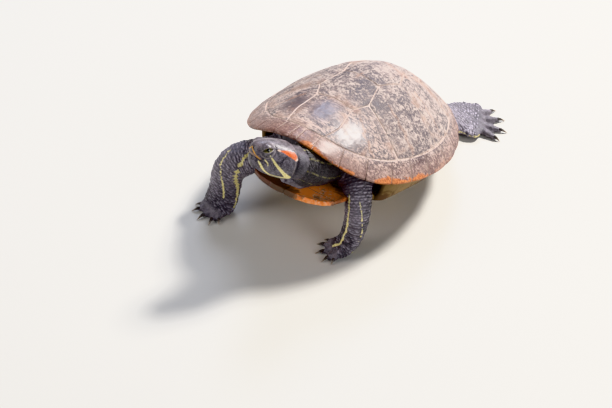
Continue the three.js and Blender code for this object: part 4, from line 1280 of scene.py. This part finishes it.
# ---- scales
def scale_template():
    """One scale in its own frame: a low hexagonal shield, front edge sunk, rear edge raised and free."""
    turn = np.arange(6) * math.pi / 3
    ring = np.stack([np.cos(turn), np.sin(turn)], -1) * 0.5
    lift = 0.5 + ring[:, 0]
    base = np.column_stack([ring * 1.06, -0.55 + 0.15 * lift])
    shoulder = np.column_stack([ring * 0.86, 0.25 + 0.45 * lift])
    centre = np.array([[0.05, 0, 0.85]])
    points = np.vstack([centre, shoulder, base])
    k = np.arange(6)
    n = (k + 1) % 6
    tris = np.column_stack([np.zeros(6, int), 1 + k, 1 + n])
    quads = np.column_stack([1 + k, 7 + k, 7 + n, 1 + n])
    return points, quads, tris


def scale_piece(name, roots, lie, normal, long, wide, high, unwrap, material, slot):
    """Scales at the roots: the template stretched along the lie and across it, in one mesh, with their
    patches on the OFBake map laid where each root lies on the unwrapped limb."""
    lie = unit(lie - np.einsum("ij,ij->i", lie, normal)[:, None] * normal)
    across = np.cross(normal, lie)
    template, quads, tris = scale_template()
    size = np.stack([long, wide, high], -1)
    local = template[None] * size[:, None]
    points = (roots[:, None] + local[..., 0:1] * lie[:, None] + local[..., 1:2] * across[:, None]
              + local[..., 2:3] * normal[:, None]).reshape(-1, 3)
    points[:, 2] = np.maximum(points[:, 2], 0.03)
    first = np.arange(len(roots))[:, None, None] * len(template)
    shape = Shape()
    values = markings(points)
    values["tone"] = np.repeat(rng.random(len(roots)), len(template))
    free_edge = 0.5 + np.cos(np.arange(6) * math.pi / 3) * 0.5
    values["crest"] = np.tile(np.r_[0.7, 0.35 + 0.65 * free_edge, np.zeros(6)], len(roots))
    shape.points, shape.values, shape.count = [points], [values], len(points)
    shape.quads, shape.tris = [(quads[None] + first).reshape(-1, 4)], [(tris[None] + first).reshape(-1, 3)]
    piece = shape.build(name, material, slot)
    patch = 0.003
    flat = (unwrap[:, None] + template[None, :, :2] * patch).reshape(-1, 2)
    layer = piece.data.uv_layers.new(name="OFBake")
    corner = np.empty(len(piece.data.loops), np.int32)
    piece.data.loops.foreach_get("vertex_index", corner)
    layer.data.foreach_set("uv", np.clip(flat[corner], 0, 1).ravel().astype(np.float32))
    return piece


def rows_on_limb(name, row, pitch, start, stop):
    """Roots in staggered rows round a limb: rows every row mm along it, pitch mm apart round it."""
    sweep = SWEEPS[name]
    places, angles = [], []
    for k, passed in enumerate(np.arange(start, min(stop, sweep.length), row)):
        wide, thick = (np.interp(passed, sweep.passed, half) for half in (sweep.wide, sweep.thick))
        count = max(int(round(math.pi * (wide + thick) / pitch)), 6)
        angles.append((np.arange(count) + 0.5 * (k % 2)) / count * 2 * math.pi - math.pi)
        places.append(np.full(count, passed))
    passed, angle = np.concatenate(places), np.concatenate(angles)
    passed = passed + rng.normal(0, row * 0.10, len(passed))
    angle = angle + rng.normal(0, 0.04, len(angle))
    centre, along, side, over, wide, thick = sweep.frame_at(passed)
    places = (centre + side * (wide * np.cos(angle))[:, None] + over * (thick * np.sin(angle))[:, None])
    unwrap = np.stack([(passed - start) / (stop - start), (angle + math.pi) / (2 * math.pi)], -1)
    return places, along, unwrap * 0.98 + 0.01


# ---- materials
# Spots of bare, polished horn: centre in metres, then radius, on the foremost costals and vertebrals.
POLISHED = (((0.037, -0.055, 0.0975), 0.023), ((-0.022, -0.050, 0.100), 0.020),
            ((0.007, -0.050, 0.1055), 0.020))


def near(tree, spot, radius):
    """1 close to a spot, falling to 0 at the radius."""
    gap = tree.node("VectorMath", {"operation": "DISTANCE"}, [tree.place, spot], output="Value")
    return gap.step(radius, radius * 0.15)


def weathered_horn(tree, settings, extra):
    """Horn under a crust of mineral film. The film gathers where three sizes of noise add up, more toward
    the tail, and leaves the polished spots bare. Returns the colour, film, polish, relief and the noises."""
    cloud, flake = tree.noise(42, 4, 0.6, 0.5), tree.noise(250, 6, 0.72, 1.0)
    speck = tree.noise(780, 5, 0.78, 0.4, tree.stretched(0.6, 1.0, 0.6))
    polish = near(tree, *POLISHED[0])
    for spot in POLISHED[1:]:
        polish = polish + near(tree, *spot)
    polish = (polish * (0.55 + cloud)).clip()
    rear = tree.along("Y").step(-0.07, 0.05)
    cover = (flake - 0.5) * 0.9 + (cloud - 0.5) * 0.6 + rear * 0.09 + extra - polish * 0.20
    film = (speck + cover).step(0.46, 0.64)
    horn = tree.mix(cloud.step(0.38, 0.62), settings.horn_dark, settings.horn_warm)
    horn = tree.mix(flake.step(0.56, 0.66) * 0.55, horn, settings.horn_streak)
    horn = tree.mix(speck.step(0.46, 0.34) * 0.75, horn, (0.030, 0.022, 0.026))
    crust = tree.mix(flake.step(0.35, 0.65), settings.film_dark, settings.film)
    base = tree.mix(film * 0.88, horn, crust)
    base = tree.mix(speck.step(0.60, 0.68) * (1 - polish) * 0.55, base, settings.seam)
    streak = tree.noise(520, 5, 0.7, 1.2, tree.stretched(0.16, 1.0, 1.0)).step(0.47, 0.58)
    base = tree.mix(streak * rear.step(0.45, 0.10) * (1 - polish) * 0.75, base, (0.76, 0.57, 0.49))
    relief = film * 0.45 + speck * 0.5 + flake * 0.4 + streak * 0.2
    return base, film, polish, relief, cloud, flake, speck


def seam_line(tree, settings, base, width, cloud, speck):
    """A thin pale line along the margin, broken and faded here and there."""
    line = (tree.value("margin") + speck * 0.5 - 0.25).step(width, width * 0.35)
    return tree.mix(line * cloud.step(0.25, 0.55) * 0.85, base, settings.seam)


def horn_material(settings):
    """Costal and vertebral plates: weathered horn with growth lines, a faint orange bar and pale seams."""
    tree = Tree("carapace_horn", Coat_Roughness=0.32)
    base, film, polish, relief, cloud, flake, speck = weathered_horn(tree, settings, 0.0)
    margin = tree.value("margin")
    line = tree.node("TexNoise", {"noise_dimensions": "1D"},
                     {"W": margin * 1.3 + cloud * 6.0, "Detail": 5.0, "Roughness": 0.75})
    base = tree.mix(line.step(0.52, 0.70) * (1 - polish * 0.5) * 0.5, base, settings.film)
    base = tree.mix(line.step(0.46, 0.34) * 0.45, base, settings.horn_dark)
    bar = (tree.value("bar") + (flake - 0.5) * 2.4).step(0.5, 1.0) * (0.20 + polish * 0.2)
    base = tree.mix(bar, base, (0.42, 0.20, 0.10))
    brown = margin.step(9.0, 1.0) * cloud.step(0.50, 0.60)
    base = tree.mix(brown * 0.45, base, (0.26, 0.13, 0.085))
    base = seam_line(tree, settings, base, 0.62, cloud, speck)
    rough = 0.44 + film * 0.22 - polish * 0.12 + speck * 0.10
    return tree.finish(Base_Color=base, Roughness=rough.clip(), Coat_Weight=polish * 0.22,
                       Normal=tree.bump((relief + line * 0.4) * (1 - polish * 0.8), 0.42, 0.65))


def rim_material(settings):
    """Marginal plates: browner horn with orange patches along the lip and a yellow, smudged underside."""
    tree = Tree("rim_horn", Coat_Weight=0.12, Coat_Roughness=0.2)
    base, film, _, relief, cloud, flake, speck = weathered_horn(tree, settings, -0.035)
    ring, under = tree.value("ring"), tree.value("under")
    base = tree.mix((ring.step(0.86, 0.97) * (0.45 + cloud * 0.5)).clip() * (0.35 + speck * 0.6), base,
                    (0.24, 0.12, 0.09))
    patches = (ring + (flake - 0.5) * 0.09 + (cloud - 0.5) * 0.20).step(1.000, 1.010)
    orange = tree.mix(speck.step(0.4, 0.6), (0.36, 0.085, 0.02), (0.68, 0.24, 0.06))
    left = tree.along("X").step(-0.005, 0.030) * tree.along("Y").step(0.000, -0.030)
    base = tree.mix(tree.along("Y").step(-0.060, -0.085) * 0.62, base, (0.20, 0.095, 0.07))
    base = tree.mix(speck.step(0.50, 0.41) * 0.65, base, (0.085, 0.035, 0.032))
    base = tree.mix(speck.step(0.57, 0.64) * 0.6, base, (0.72, 0.50, 0.46))
    base = tree.mix(patches * (0.15 + left * 0.75), base, orange)
    belly = tree.mix(tree.noise(95, 3, 0.5).step(0.45, 0.58), (0.20, 0.13, 0.062), (0.06, 0.036, 0.022))
    belly = tree.mix(speck.step(0.4, 0.6) * 0.35, belly, (0.30, 0.22, 0.14))
    base = tree.mix(under, base, belly)
    base = seam_line(tree, settings, base, 0.40, cloud, speck)
    rough = 0.40 + film * 0.25 + speck * 0.12
    return tree.finish(Base_Color=base, Roughness=rough.clip(), Normal=tree.bump(relief, 0.42, 0.65))


def belly_material(settings):
    """Belly horn: yellow with dark smudges along the growth lines, and orange toward the front rim, with a
    painted sunlit patch and glints on the left front lobe and painted shade over the rest of the front.
    """
    tree = Tree("plastron_horn", Coat_Roughness=0.2, Specular_IOR_Level=0.3)
    margin, ring, under = tree.value("margin"), tree.value("ring"), tree.value("under")
    cloud, grain = tree.noise(60, 5, 0.6, 0.5), tree.noise(500, 6, 0.65)
    front = tree.along("Y").step(-0.060, -0.078)
    base = tree.mix(grain.step(0.4, 0.6), settings.belly, (0.72, 0.55, 0.25))
    tanned = tree.mix(cloud.step(0.42, 0.6), (0.20, 0.135, 0.070), (0.10, 0.062, 0.035))
    bridge = ring.step(8.5, 8.9) * under
    base = tree.mix(bridge * 0.92, base, tanned)
    orange = tree.mix(grain.step(0.4, 0.62), (0.78, 0.16, 0.03), (0.88, 0.33, 0.09))
    base = tree.mix(front * (0.75 + under * 0.25), base, orange)
    # Painted light: a bright sunlit orange patch on the left front lobe.
    painted_sun_patch = near(tree, (0.028, -0.088, 0.056), 0.028)
    # away: painted shade, dark red-brown over the rest of the plastron's front.
    away = (1 - painted_sun_patch * 1.6).clip() * front
    base = tree.mix(away * 0.85, base, (0.11, 0.034, 0.022))
    base = tree.mix(painted_sun_patch * 0.9, base, (1.0, 0.33, 0.09))
    # Painted glints: pale flecks within the sunlit patch.
    base = tree.mix(painted_sun_patch * painted_sun_patch * (grain * 0.7 + cloud * 0.5).step(0.60, 0.70) * 0.9, base, (1.0, 0.80, 0.62))
    # Smudges are real staining, shifted slightly by the painted shade and the sunlit patch.
    smudge = (cloud + ring.step(0, 14) * 0.05 - painted_sun_patch * 0.10 + away * 0.07).step(0.51, 0.58)
    base = tree.mix(smudge * (0.9 - 0.25 * under), base, (0.085, 0.042, 0.028))
    base = tree.mix(margin.step(0.5, 0.15) * 0.7, base, (0.12, 0.08, 0.05))
    rough = 0.30 + grain * 0.25 + bridge * 0.40
    return tree.finish(Base_Color=base, Roughness=rough.clip(), Coat_Weight=0.25 * (1 - bridge),
                       Normal=tree.bump(grain + cloud * 0.5, 0.25, 0.5))


def bed_material(settings):
    """The pale living layer in the seams, stained here and there and darker at the front."""
    tree = Tree("seam_bed")
    grain = tree.noise(700, 4, 0.6)
    worn = tree.noise(70, 4, 0.6, 0.8)
    base = tree.mix((grain * 0.6 + worn * 0.8).step(0.62, 0.80), settings.seam, (0.30, 0.22, 0.19))
    front = tree.along("Y").step(-0.050, -0.075)
    base = tree.mix(front * 0.7, base, (0.20, 0.13, 0.105))
    return tree.finish(Base_Color=base, Roughness=0.45 + grain * 0.3, Normal=tree.bump(grain, 0.2, 0.5))


def stripe_colours(tree, base, fine):
    """Lays the markings over a base colour: yellow, red ear patch, amber beak stripe, pink lines, lids."""
    blotch = tree.noise(430, 3, 0.6, 0.4)
    yellow = (tree.value("yellow") + (fine - 0.5) * 0.35 + (blotch - 0.5) * 0.7).step(0.42, 0.62)
    red = (tree.value("red") + (fine - 0.5) * 0.3 + (blotch - 0.5) * 1.1).step(0.44, 0.56)
    warm = tree.value("warm")
    base = tree.mix(tree.value("pink").step(0.3, 0.8) * 0.55, base, (0.42, 0.22, 0.20))
    base = tree.mix(yellow, base, tree.mix(fine.step(0.35, 0.65), (0.78, 0.65, 0.22), (0.95, 0.87, 0.50)))
    patch = tree.mix(fine.step(0.4, 0.6), (0.66, 0.10, 0.02), (0.78, 0.21, 0.06))
    patch = tree.mix(warm.step(0.22, 0.10), patch, (0.80, 0.62, 0.50))
    patch = tree.mix(warm.step(0.93, 1.0), patch, (0.85, 0.62, 0.50))
    base = tree.mix(red, base, patch)
    base = tree.mix(tree.value("amber").step(0.4, 0.6), base, (0.75, 0.38, 0.05))
    base = tree.mix(tree.value("lid").step(0.45, 0.9) * 0.55, base, (0.34, 0.29, 0.29))
    # Painted shade: the neck behind the cheek is darkened nearly to black.
    return tree.mix(tree.value("painted_neck_shade") * 0.74, base, (0.010, 0.008, 0.008))


def skin_material(settings):
    """Slate-black skin with lavender bloom, smooth on the face and pebbled elsewhere."""
    tree = Tree("turtle_skin", Specular_IOR_Level=0.6)
    cloud, fine = tree.noise(150, 6, 0.68, 0.6), tree.noise(1100, 4, 0.6)
    pebble = tree.node("TexVoronoi", {"feature": "DISTANCE_TO_EDGE"}, {"Vector": tree.place, "Scale": 850})
    face, belly, foot = tree.value("face"), tree.value("belly"), tree.value("foot")
    base = tree.mix(cloud.step(0.35, 0.65), settings.slate, settings.bloom)
    base = tree.mix(fine.step(0.52, 0.70) * 0.4, base, settings.lavender)
    # Painted sheen: lavender-grey mottling on the smooth face skin stands in for its highlights.
    base = tree.mix(face * (fine * 0.5 + cloud * 0.7).step(0.50, 0.78) * 0.6, base, (0.30, 0.265, 0.31))
    # Crown tint, partly painted light on the top of the head and snout.
    crown = tree.value("crown") * (cloud * 1.6 - 0.3).clip()
    base = tree.mix(crown * 0.44, base, (0.26, 0.19, 0.18))
    base = tree.mix(belly * 0.35, base, (0.20, 0.17, 0.13))
    base = tree.mix(foot * cloud.step(0.45, 0.6) * 0.5, base, (0.22, 0.19, 0.22))
    base = tree.mix(tree.value("lip") * 0.75, base, (0.36, 0.22, 0.17))
    base = tree.mix(tree.value("pale") * (fine * 0.9 + cloud * 0.6 - 0.25).clip(), base, (0.30, 0.265, 0.31))
    base = stripe_colours(tree, base, fine)
    # Painted shade: the mouth's line is darkened nearly to black.
    base = tree.mix(tree.value("painted_mouth_shade") * 0.8, base, (0.02, 0.012, 0.012))
    rough = 0.33 + (1 - face) * 0.10 + fine * 0.14
    height = pebble.step(0.0, 0.35) * (1 - face * 0.75) + fine * 0.25 + cloud * 0.4
    return tree.finish(Base_Color=base, Roughness=rough, Normal=tree.bump(height, 0.28, 0.7))


def scale_material(settings):
    """Scales: slate flanks, lavender-grey crests made paler by painted sheen, with the skin's own stripes."""
    tree = Tree("turtle_scales", Specular_IOR_Level=0.5)
    fine, tone, crest = tree.noise(1300, 4, 0.6), tree.value("tone"), tree.value("crest")
    cloud = tree.noise(120, 4, 0.6)
    base = tree.mix((tone * 0.6 + cloud * 0.6).step(0.35, 0.85), settings.slate, settings.bloom)
    pale = tree.value("pale")
    base = tree.mix(pale * 0.6, base, (0.25, 0.225, 0.265))
    # worn here is painted sheen on the scale crests, stronger on pale parts and varying at random from scale
    # to scale.
    worn = crest.step(0.45, 1.0) * (0.2 + tone * 0.6 + pale * 0.45) * cloud.step(0.25, 0.5)
    base = tree.mix(worn.clip(), base, settings.lavender)
    base = stripe_colours(tree, base, fine)
    rough = 0.30 + fine * 0.2
    return tree.finish(Base_Color=base, Roughness=rough, Normal=tree.bump(fine, 0.12, 0.5))


def eye_material(settings):
    """Olive iris with fine spokes, a round pupil crossed by a dark bar, and a wet cornea."""
    tree = Tree("slider_eye", Coat_Weight=1.0, Coat_Roughness=0.03, Roughness=0.25)
    polar, across = tree.value("polar"), tree.value("across")
    spokes = tree.noise(1500, 4, 0.7)
    iris = tree.mix(spokes.step(0.35, 0.65), settings.iris, (0.33, 0.30, 0.10))
    bar = (across * across).step(0.55, 0.25)
    iris = tree.mix(bar * 0.92, iris, (0.012, 0.010, 0.008))
    iris = tree.mix(polar.step(0.33, 0.27), iris, (0.003, 0.003, 0.003))
    iris = tree.mix(polar.step(0.80, 0.92), iris, (0.04, 0.035, 0.02))
    return tree.finish(Base_Color=iris, Normal=tree.bump(spokes, 0.02, 0.3))


def claw_material(settings):
    """Dark claw horn, paler toward the tip."""
    tree = Tree("claw_horn", Coat_Weight=0.2)
    length, grain = tree.value("length"), tree.noise(1200, 4, 0.6)
    base = tree.mix(length.step(0.35, 1.0), settings.claw, (0.34, 0.27, 0.20))
    base = tree.mix(grain.step(0.5, 0.7) * 0.4, base, (0.16, 0.12, 0.10))
    return tree.finish(Base_Color=base, Roughness=0.28 + grain * 0.2, Normal=tree.bump(grain, 0.08, 0.4))


def floor_material(settings):
    """The studio's pale floor."""
    tree = Tree("studio_floor", Roughness=0.7)
    grain = tree.noise(3, 2, 0.5)
    base = tree.mix(grain.step(0.3, 0.7), settings.floor, tuple(c * 0.97 for c in settings.floor))
    return tree.finish(Base_Color=base)


# ---- settings
def colour(name, description, default):
    """A colour that the user may change."""
    return FloatVectorProperty(name=name, description=description, subtype="COLOR", size=3, min=0, max=1,
                               default=default)


class TurtleShellSettings(bpy.types.PropertyGroup):
    """Sizes and colours of the horn."""
    bow: FloatProperty(name="Plate bow", description="Height of each plate's middle over its margin",
                       default=0.0005, unit="LENGTH")
    horn_dark: colour("Dark horn", "Darker tone of the carapace", (0.080, 0.062, 0.076))
    horn_warm: colour("Warm horn", "Lighter tone of the carapace", (0.165, 0.122, 0.125))
    horn_streak: colour("Streaks", "Growth streaks", (0.33, 0.21, 0.15))
    film_dark: colour("Thin film", "Darker mineral deposit on old horn", (0.33, 0.265, 0.25))
    film: colour("Mineral film", "Pale deposit on old horn", (0.56, 0.46, 0.41))
    seam: colour("Seams", "Living layer in the seams", (0.68, 0.55, 0.49))
    belly: colour("Belly horn", "Ground colour of the plastron", (0.62, 0.38, 0.10))


class TurtleSkinSettings(bpy.types.PropertyGroup):
    """Sizes and colours of skin, scales, eyes and claws."""
    scale_row: FloatProperty(name="Scale row", description="Distance between rows of leg scales",
                             default=0.0024, unit="LENGTH")
    slate: colour("Slate", "Dark ground colour of the skin", (0.028, 0.025, 0.032))
    bloom: colour("Bloom", "Lighter ground colour of the skin", (0.120, 0.107, 0.132))
    # Lavender: painted sheen on the scale crests; it also flecks the skin at random.
    lavender: colour("Lavender", "Worn crests of the scales", (0.44, 0.39, 0.47))
    iris: colour("Iris", "Olive of the iris", (0.15, 0.13, 0.035))
    claw: colour("Claws", "Dark root of the claws", (0.035, 0.028, 0.026))


class TurtleStageSettings(bpy.types.PropertyGroup):
    """Floor, lights and lens."""
    floor: colour("Floor", "Colour of the studio floor", (0.72, 0.70, 0.66))
    key_power: FloatProperty(name="Key light", description="Power of the main light", default=38.0,
                             unit="POWER")
    ambient: FloatProperty(name="Ambient", description="Strength of the even light from all sides",
                           default=0.14)
    lens: FloatProperty(name="Focal length", description="On a 36 mm sensor", default=174.5)


class Studio:
    """Where the camera and the lights stand, seen from the shell's middle, in metres and degrees."""
    FLOOR_HALF = 2.5
    CAMERA_AZIMUTH, CAMERA_ELEVATION, CAMERA_DISTANCE = 34.3, 40.3, 2.4
    AIM_LEFT, AIM_BELOW = 0.0395, 0.0596        # the view's middle, from the shell's middle
    # Each lamp's direction, distance, size, share of the key's power and colour.
    LAMPS = {"key": ((0.22, 0.60, 0.77), 1.5, 0.34, 1.0, (1.0, 0.97, 0.92)),
             "sky": ((-0.36, 0.62, 0.70), 1.5, 0.55, 0.28, (0.72, 0.80, 1.0)),
             "front": ((-0.62, -0.62, 0.48), 1.8, 1.1, 0.34, (1.0, 0.98, 0.96)),
             "side": ((0.90, -0.10, 0.42), 1.8, 1.0, 0.30, (0.96, 0.97, 1.0))}


class Workshop:
    """What the operators share: the finished skin and the materials, each made once."""
    skin = None
    materials = {}

    @classmethod
    def get_skin(cls):
        """The skin, made on its first use."""
        if cls.skin is None:
            cls.skin = Skin()
        return cls.skin

    @classmethod
    def material(cls, maker, settings):
        """The material that a maker makes, made on its first use."""
        if maker not in cls.materials:
            cls.materials[maker] = maker(settings)
        return cls.materials[maker]


# ---- operators
class TurtlePlatesOperator(bpy.types.Operator):
    """Makes the vertebral and costal plates of the carapace"""
    bl_idname = "turtle.plates"
    bl_label = "Carapace plates"

    def execute(self, context):
        settings = context.scene.turtle_shell
        material = Workshop.material(horn_material, settings)
        bow = settings.bow / MM
        for k in range(5):
            outline = vertebral_outline(k)
            areola = np.array([0.0, outline[:, 1].mean() + 4.0])
            name = f"vertebral_{k + 1}"
            plate(outline, areola, bow).build(name + "_plate", material, "scute", [name], pose_shell)
        for k in range(4):
            outline = costal_outline(k)
            areola = outline.mean(0) + (-4.0, 6.0)
            for side, label in SIDES:
                mirror = (side, 1)
                name = f"costal_{label}_{k + 1}"
                shape = plate(outline * mirror, areola * mirror, bow, np.array(COSTAL_BARS[k]) * mirror)
                shape.build(name + "_plate", material, "scute", [name], pose_shell)
        return {"FINISHED"}


class TurtleRimOperator(bpy.types.Operator):
    """Makes the marginal plates, the nuchal plate and the living layer in the seams"""
    bl_idname = "turtle.rim"
    bl_label = "Rim plates"

    def execute(self, context):
        settings = context.scene.turtle_shell
        material = Workshop.material(rim_material, settings)
        nuchal = marginal(-MARGINAL_SEAMS[0], MARGINAL_SEAMS[0], 0.3, columns=14)
        nuchal.build("nuchal_plate", material, "marginal", ["nuchal"], pose_shell)
        for k in range(12):
            start, stop = MARGINAL_SEAMS[k], MARGINAL_SEAMS[k + 1]
            notch = 0.9 if k > 6 else 0.5
            for side, label in SIDES:
                shape = marginal(*sorted((start * side, stop * side)), notch)
                name = f"marginal_{label}_{k + 1}"
                shape.build(name + "_plate", material, "marginal", [name], pose_shell)
        seam_bed().build("seam_bed", Workshop.material(bed_material, settings), "marginal",
                         posed=pose_shell)
        return {"FINISHED"}


class TurtleBellyOperator(bpy.types.Operator):
    """Makes the plates of the belly shell and the bridges"""
    bl_idname = "turtle.belly"
    bl_label = "Belly plates"

    def execute(self, context):
        settings = context.scene.turtle_shell
        material = Workshop.material(belly_material, settings)
        for band, (front, back) in PLASTRON_BANDS.items():
            shape = Shape()
            for side in (1, -1):
                belly_plate(shape, side, front, back)
            shape.build(f"plastron_{band}_plates", material, "plastron", [f"plastron_{band}"], on_floor)
        for side, label in SIDES:
            bridge(side).build(f"bridge_{label}_plate", material, "plastron", [f"bridge_{label}"],
                               pose_shell)
        return {"FINISHED"}


class TurtleSkinOperator(bpy.types.Operator):
    """Makes the one skin of head, neck, legs, tail and trunk"""
    bl_idname = "turtle.skin"
    bl_label = "Skin"

    def execute(self, context):
        skin = Workshop.get_skin()
        shape = Shape().add(skin.points, np.zeros((0, 4), int), skin.tris, **markings(skin.points))
        material = Workshop.material(skin_material, context.scene.turtle_skin)
        shape.build("skin", material, "skin", ["trunk", "head", "neck", "tail", *DIGITS])
        return {"FINISHED"}


class TurtleScalesOperator(bpy.types.Operator):
    """Lays the scales on legs, tail, neck and the back of the head"""
    bl_idname = "turtle.scales"
    bl_label = "Scales"

    def execute(self, context):
        settings = context.scene.turtle_skin
        material = Workshop.material(scale_material, settings)
        row = settings.scale_row / MM
        # distance between rows, distance round the limb, and the lengths passed between which scales lie
        plan = {"neck": (1.7, 1.9, 10, 62), "tail": (2.0, 2.4, 8, 60),
                "foreleg_right": (row * 0.8, 3.7, 12, 200), "foreleg_left": (row * 0.8, 3.7, 10, 200),
                "hindleg_left": (row * 0.85, 3.2, 10, 200), "hindleg_right": (row * 0.85, 3.2, 10, 200)}
        skin = Workshop.get_skin()
        for name, (pitch, around, start, stop) in plan.items():
            places, along, unwrap = rows_on_limb(name, pitch, around, start, stop)
            roots, normal = skin.settle(places)
            moved = np.linalg.norm(roots - places, axis=1)
            horn, _, local = horn_room(roots)
            shown = (moved < 3.5) & (horn < -0.7) & (roots[:, 2] > 0.6)
            shown &= plastron_depth(local) < -0.6
            if name == "neck":
                q = to_head(roots)
                shown &= ~((head_field(q) < 1.5) & (cheek_fold(q) < -0.5))
            else:
                shown &= SWEEPS["neck"].locate(roots)[0] > 0.5
            lie = along * (-1 if name == "neck" else 1)
            count = int(shown.sum())
            size = 1 + 0.15 * rng.normal(size=count)
            scale_piece(f"{name}_scales", roots[shown], lie[shown], normal[shown], pitch * 1.22 * size,
                        around * 0.98 * size, np.full(count, COAT * 0.9), unwrap[shown], material, "skin")
        return {"FINISHED"}


class TurtleEyesOperator(bpy.types.Operator):
    """Makes both eyes"""
    bl_idname = "turtle.eyes"
    bl_label = "Eyes"

    def execute(self, context):
        material = Workshop.material(eye_material, context.scene.turtle_skin)
        for side, label in SIDES:
            eyeball(side).build(f"eye_{label}_globe", material, "eye", [f"eye_{label}"])
        return {"FINISHED"}


class TurtleClawsOperator(bpy.types.Operator):
    """Makes the claws of each foot"""
    bl_idname = "turtle.claws"
    bl_label = "Claws"

    def execute(self, context):
        material = Workshop.material(claw_material, context.scene.turtle_skin)
        for name in DIGITS:
            claw_set(name).build(f"{name}_claws", material, "skin")
        return {"FINISHED"}


class TurtleStageOperator(bpy.types.Operator):
    """Sets up the floor, the soft studio lights and the camera"""
    bl_idname = "turtle.stage"
    bl_label = "Stage"

    def execute(self, context):
        settings = context.scene.turtle_stage
        half = Studio.FLOOR_HALF
        corners = [(-half, -half, 0), (half, -half, 0), (half, half, 0), (-half, half, 0)]
        mesh = bpy.data.meshes.new("floor")
        mesh.from_pydata(corners, [], [(0, 1, 2, 3)])
        mesh.materials.append(floor_material(settings))
        floor = new_object("floor", mesh)
        azimuth, elevation = math.radians(Studio.CAMERA_AZIMUTH), math.radians(Studio.CAMERA_ELEVATION)
        back = Vector((math.sin(azimuth) * math.cos(elevation), -math.cos(azimuth) * math.cos(elevation),
                       math.sin(elevation)))
        right = Vector((math.cos(azimuth), math.sin(azimuth), 0))
        up = back.cross(right)
        heart = Vector((SHELL_MIDDLE + (0, 0, RIM_HEIGHT)) * MM)
        data = bpy.data.cameras.new("camera")
        data.lens, data.sensor_width, data.sensor_fit = settings.lens, 36.0, "HORIZONTAL"
        data.dof.use_dof = False
        data.clip_start, data.clip_end = 0.05, 20.0
        camera = new_object("camera", data)
        camera.location = heart + back * Studio.CAMERA_DISTANCE
        aim = heart - right * Studio.AIM_LEFT - up * Studio.AIM_BELOW
        camera.rotation_euler = (camera.location - aim).to_track_quat("Z", "Y").to_euler()
        context.scene.camera = camera
        for name, (toward, distance, size, share, tint) in Studio.LAMPS.items():
            lamp = bpy.data.lights.new(name, "AREA")
            lamp.shape, lamp.size, lamp.color = "DISK", size, tint
            lamp.energy = settings.key_power * share
            holder = new_object(name, lamp)
            offset = Vector(toward).normalized() * distance
            holder.location = heart + offset
            holder.rotation_euler = offset.to_track_quat("Z", "Y").to_euler()
        world = bpy.data.worlds.new("studio")
        world.use_nodes = True
        sky = world.node_tree.nodes["Background"]
        sky.inputs["Color"].default_value = (0.86, 0.90, 1.0, 1)
        sky.inputs["Strength"].default_value = settings.ambient
        context.scene.view_settings.view_transform = "Khronos PBR Neutral"
        context.scene.world = world
        return {"FINISHED"}


STEPS = (TurtleStageOperator, TurtlePlatesOperator, TurtleRimOperator, TurtleBellyOperator,
         TurtleSkinOperator, TurtleScalesOperator, TurtleEyesOperator, TurtleClawsOperator)
SETTINGS = {"turtle_shell": TurtleShellSettings, "turtle_skin": TurtleSkinSettings,
            "turtle_stage": TurtleStageSettings}


class TurtlePanel(bpy.types.Panel):
    """Lists the settings and the steps that build the turtle"""
    bl_idname = "VIEW3D_PT_turtle"
    bl_label = "Red-eared slider"
    bl_space_type = "VIEW_3D"
    bl_region_type = "UI"
    bl_category = "Turtle"

    def draw(self, context):
        layout = self.layout
        for settings in SETTINGS:
            box = layout.box()
            for key in SETTINGS[settings].__annotations__:
                box.prop(getattr(context.scene, settings), key)
        for step in STEPS:
            layout.operator(step.bl_idname)


CLASSES = (*SETTINGS.values(), *STEPS, TurtlePanel)


def register():
    """Registers every class and hangs the settings on the scene."""
    for cls in CLASSES:
        bpy.utils.register_class(cls)
    for key, group in SETTINGS.items():
        setattr(bpy.types.Scene, key, PointerProperty(type=group))


def unregister():
    """Takes the settings off the scene and unregisters the classes."""
    for key in SETTINGS:
        delattr(bpy.types.Scene, key)
    for cls in reversed(CLASSES):
        bpy.utils.unregister_class(cls)


def main():
    """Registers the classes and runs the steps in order."""
    register()
    for step in STEPS:
        group, name = step.bl_idname.split(".")
        getattr(getattr(bpy.ops, group), name)()


if __name__ == "__main__":
    main()
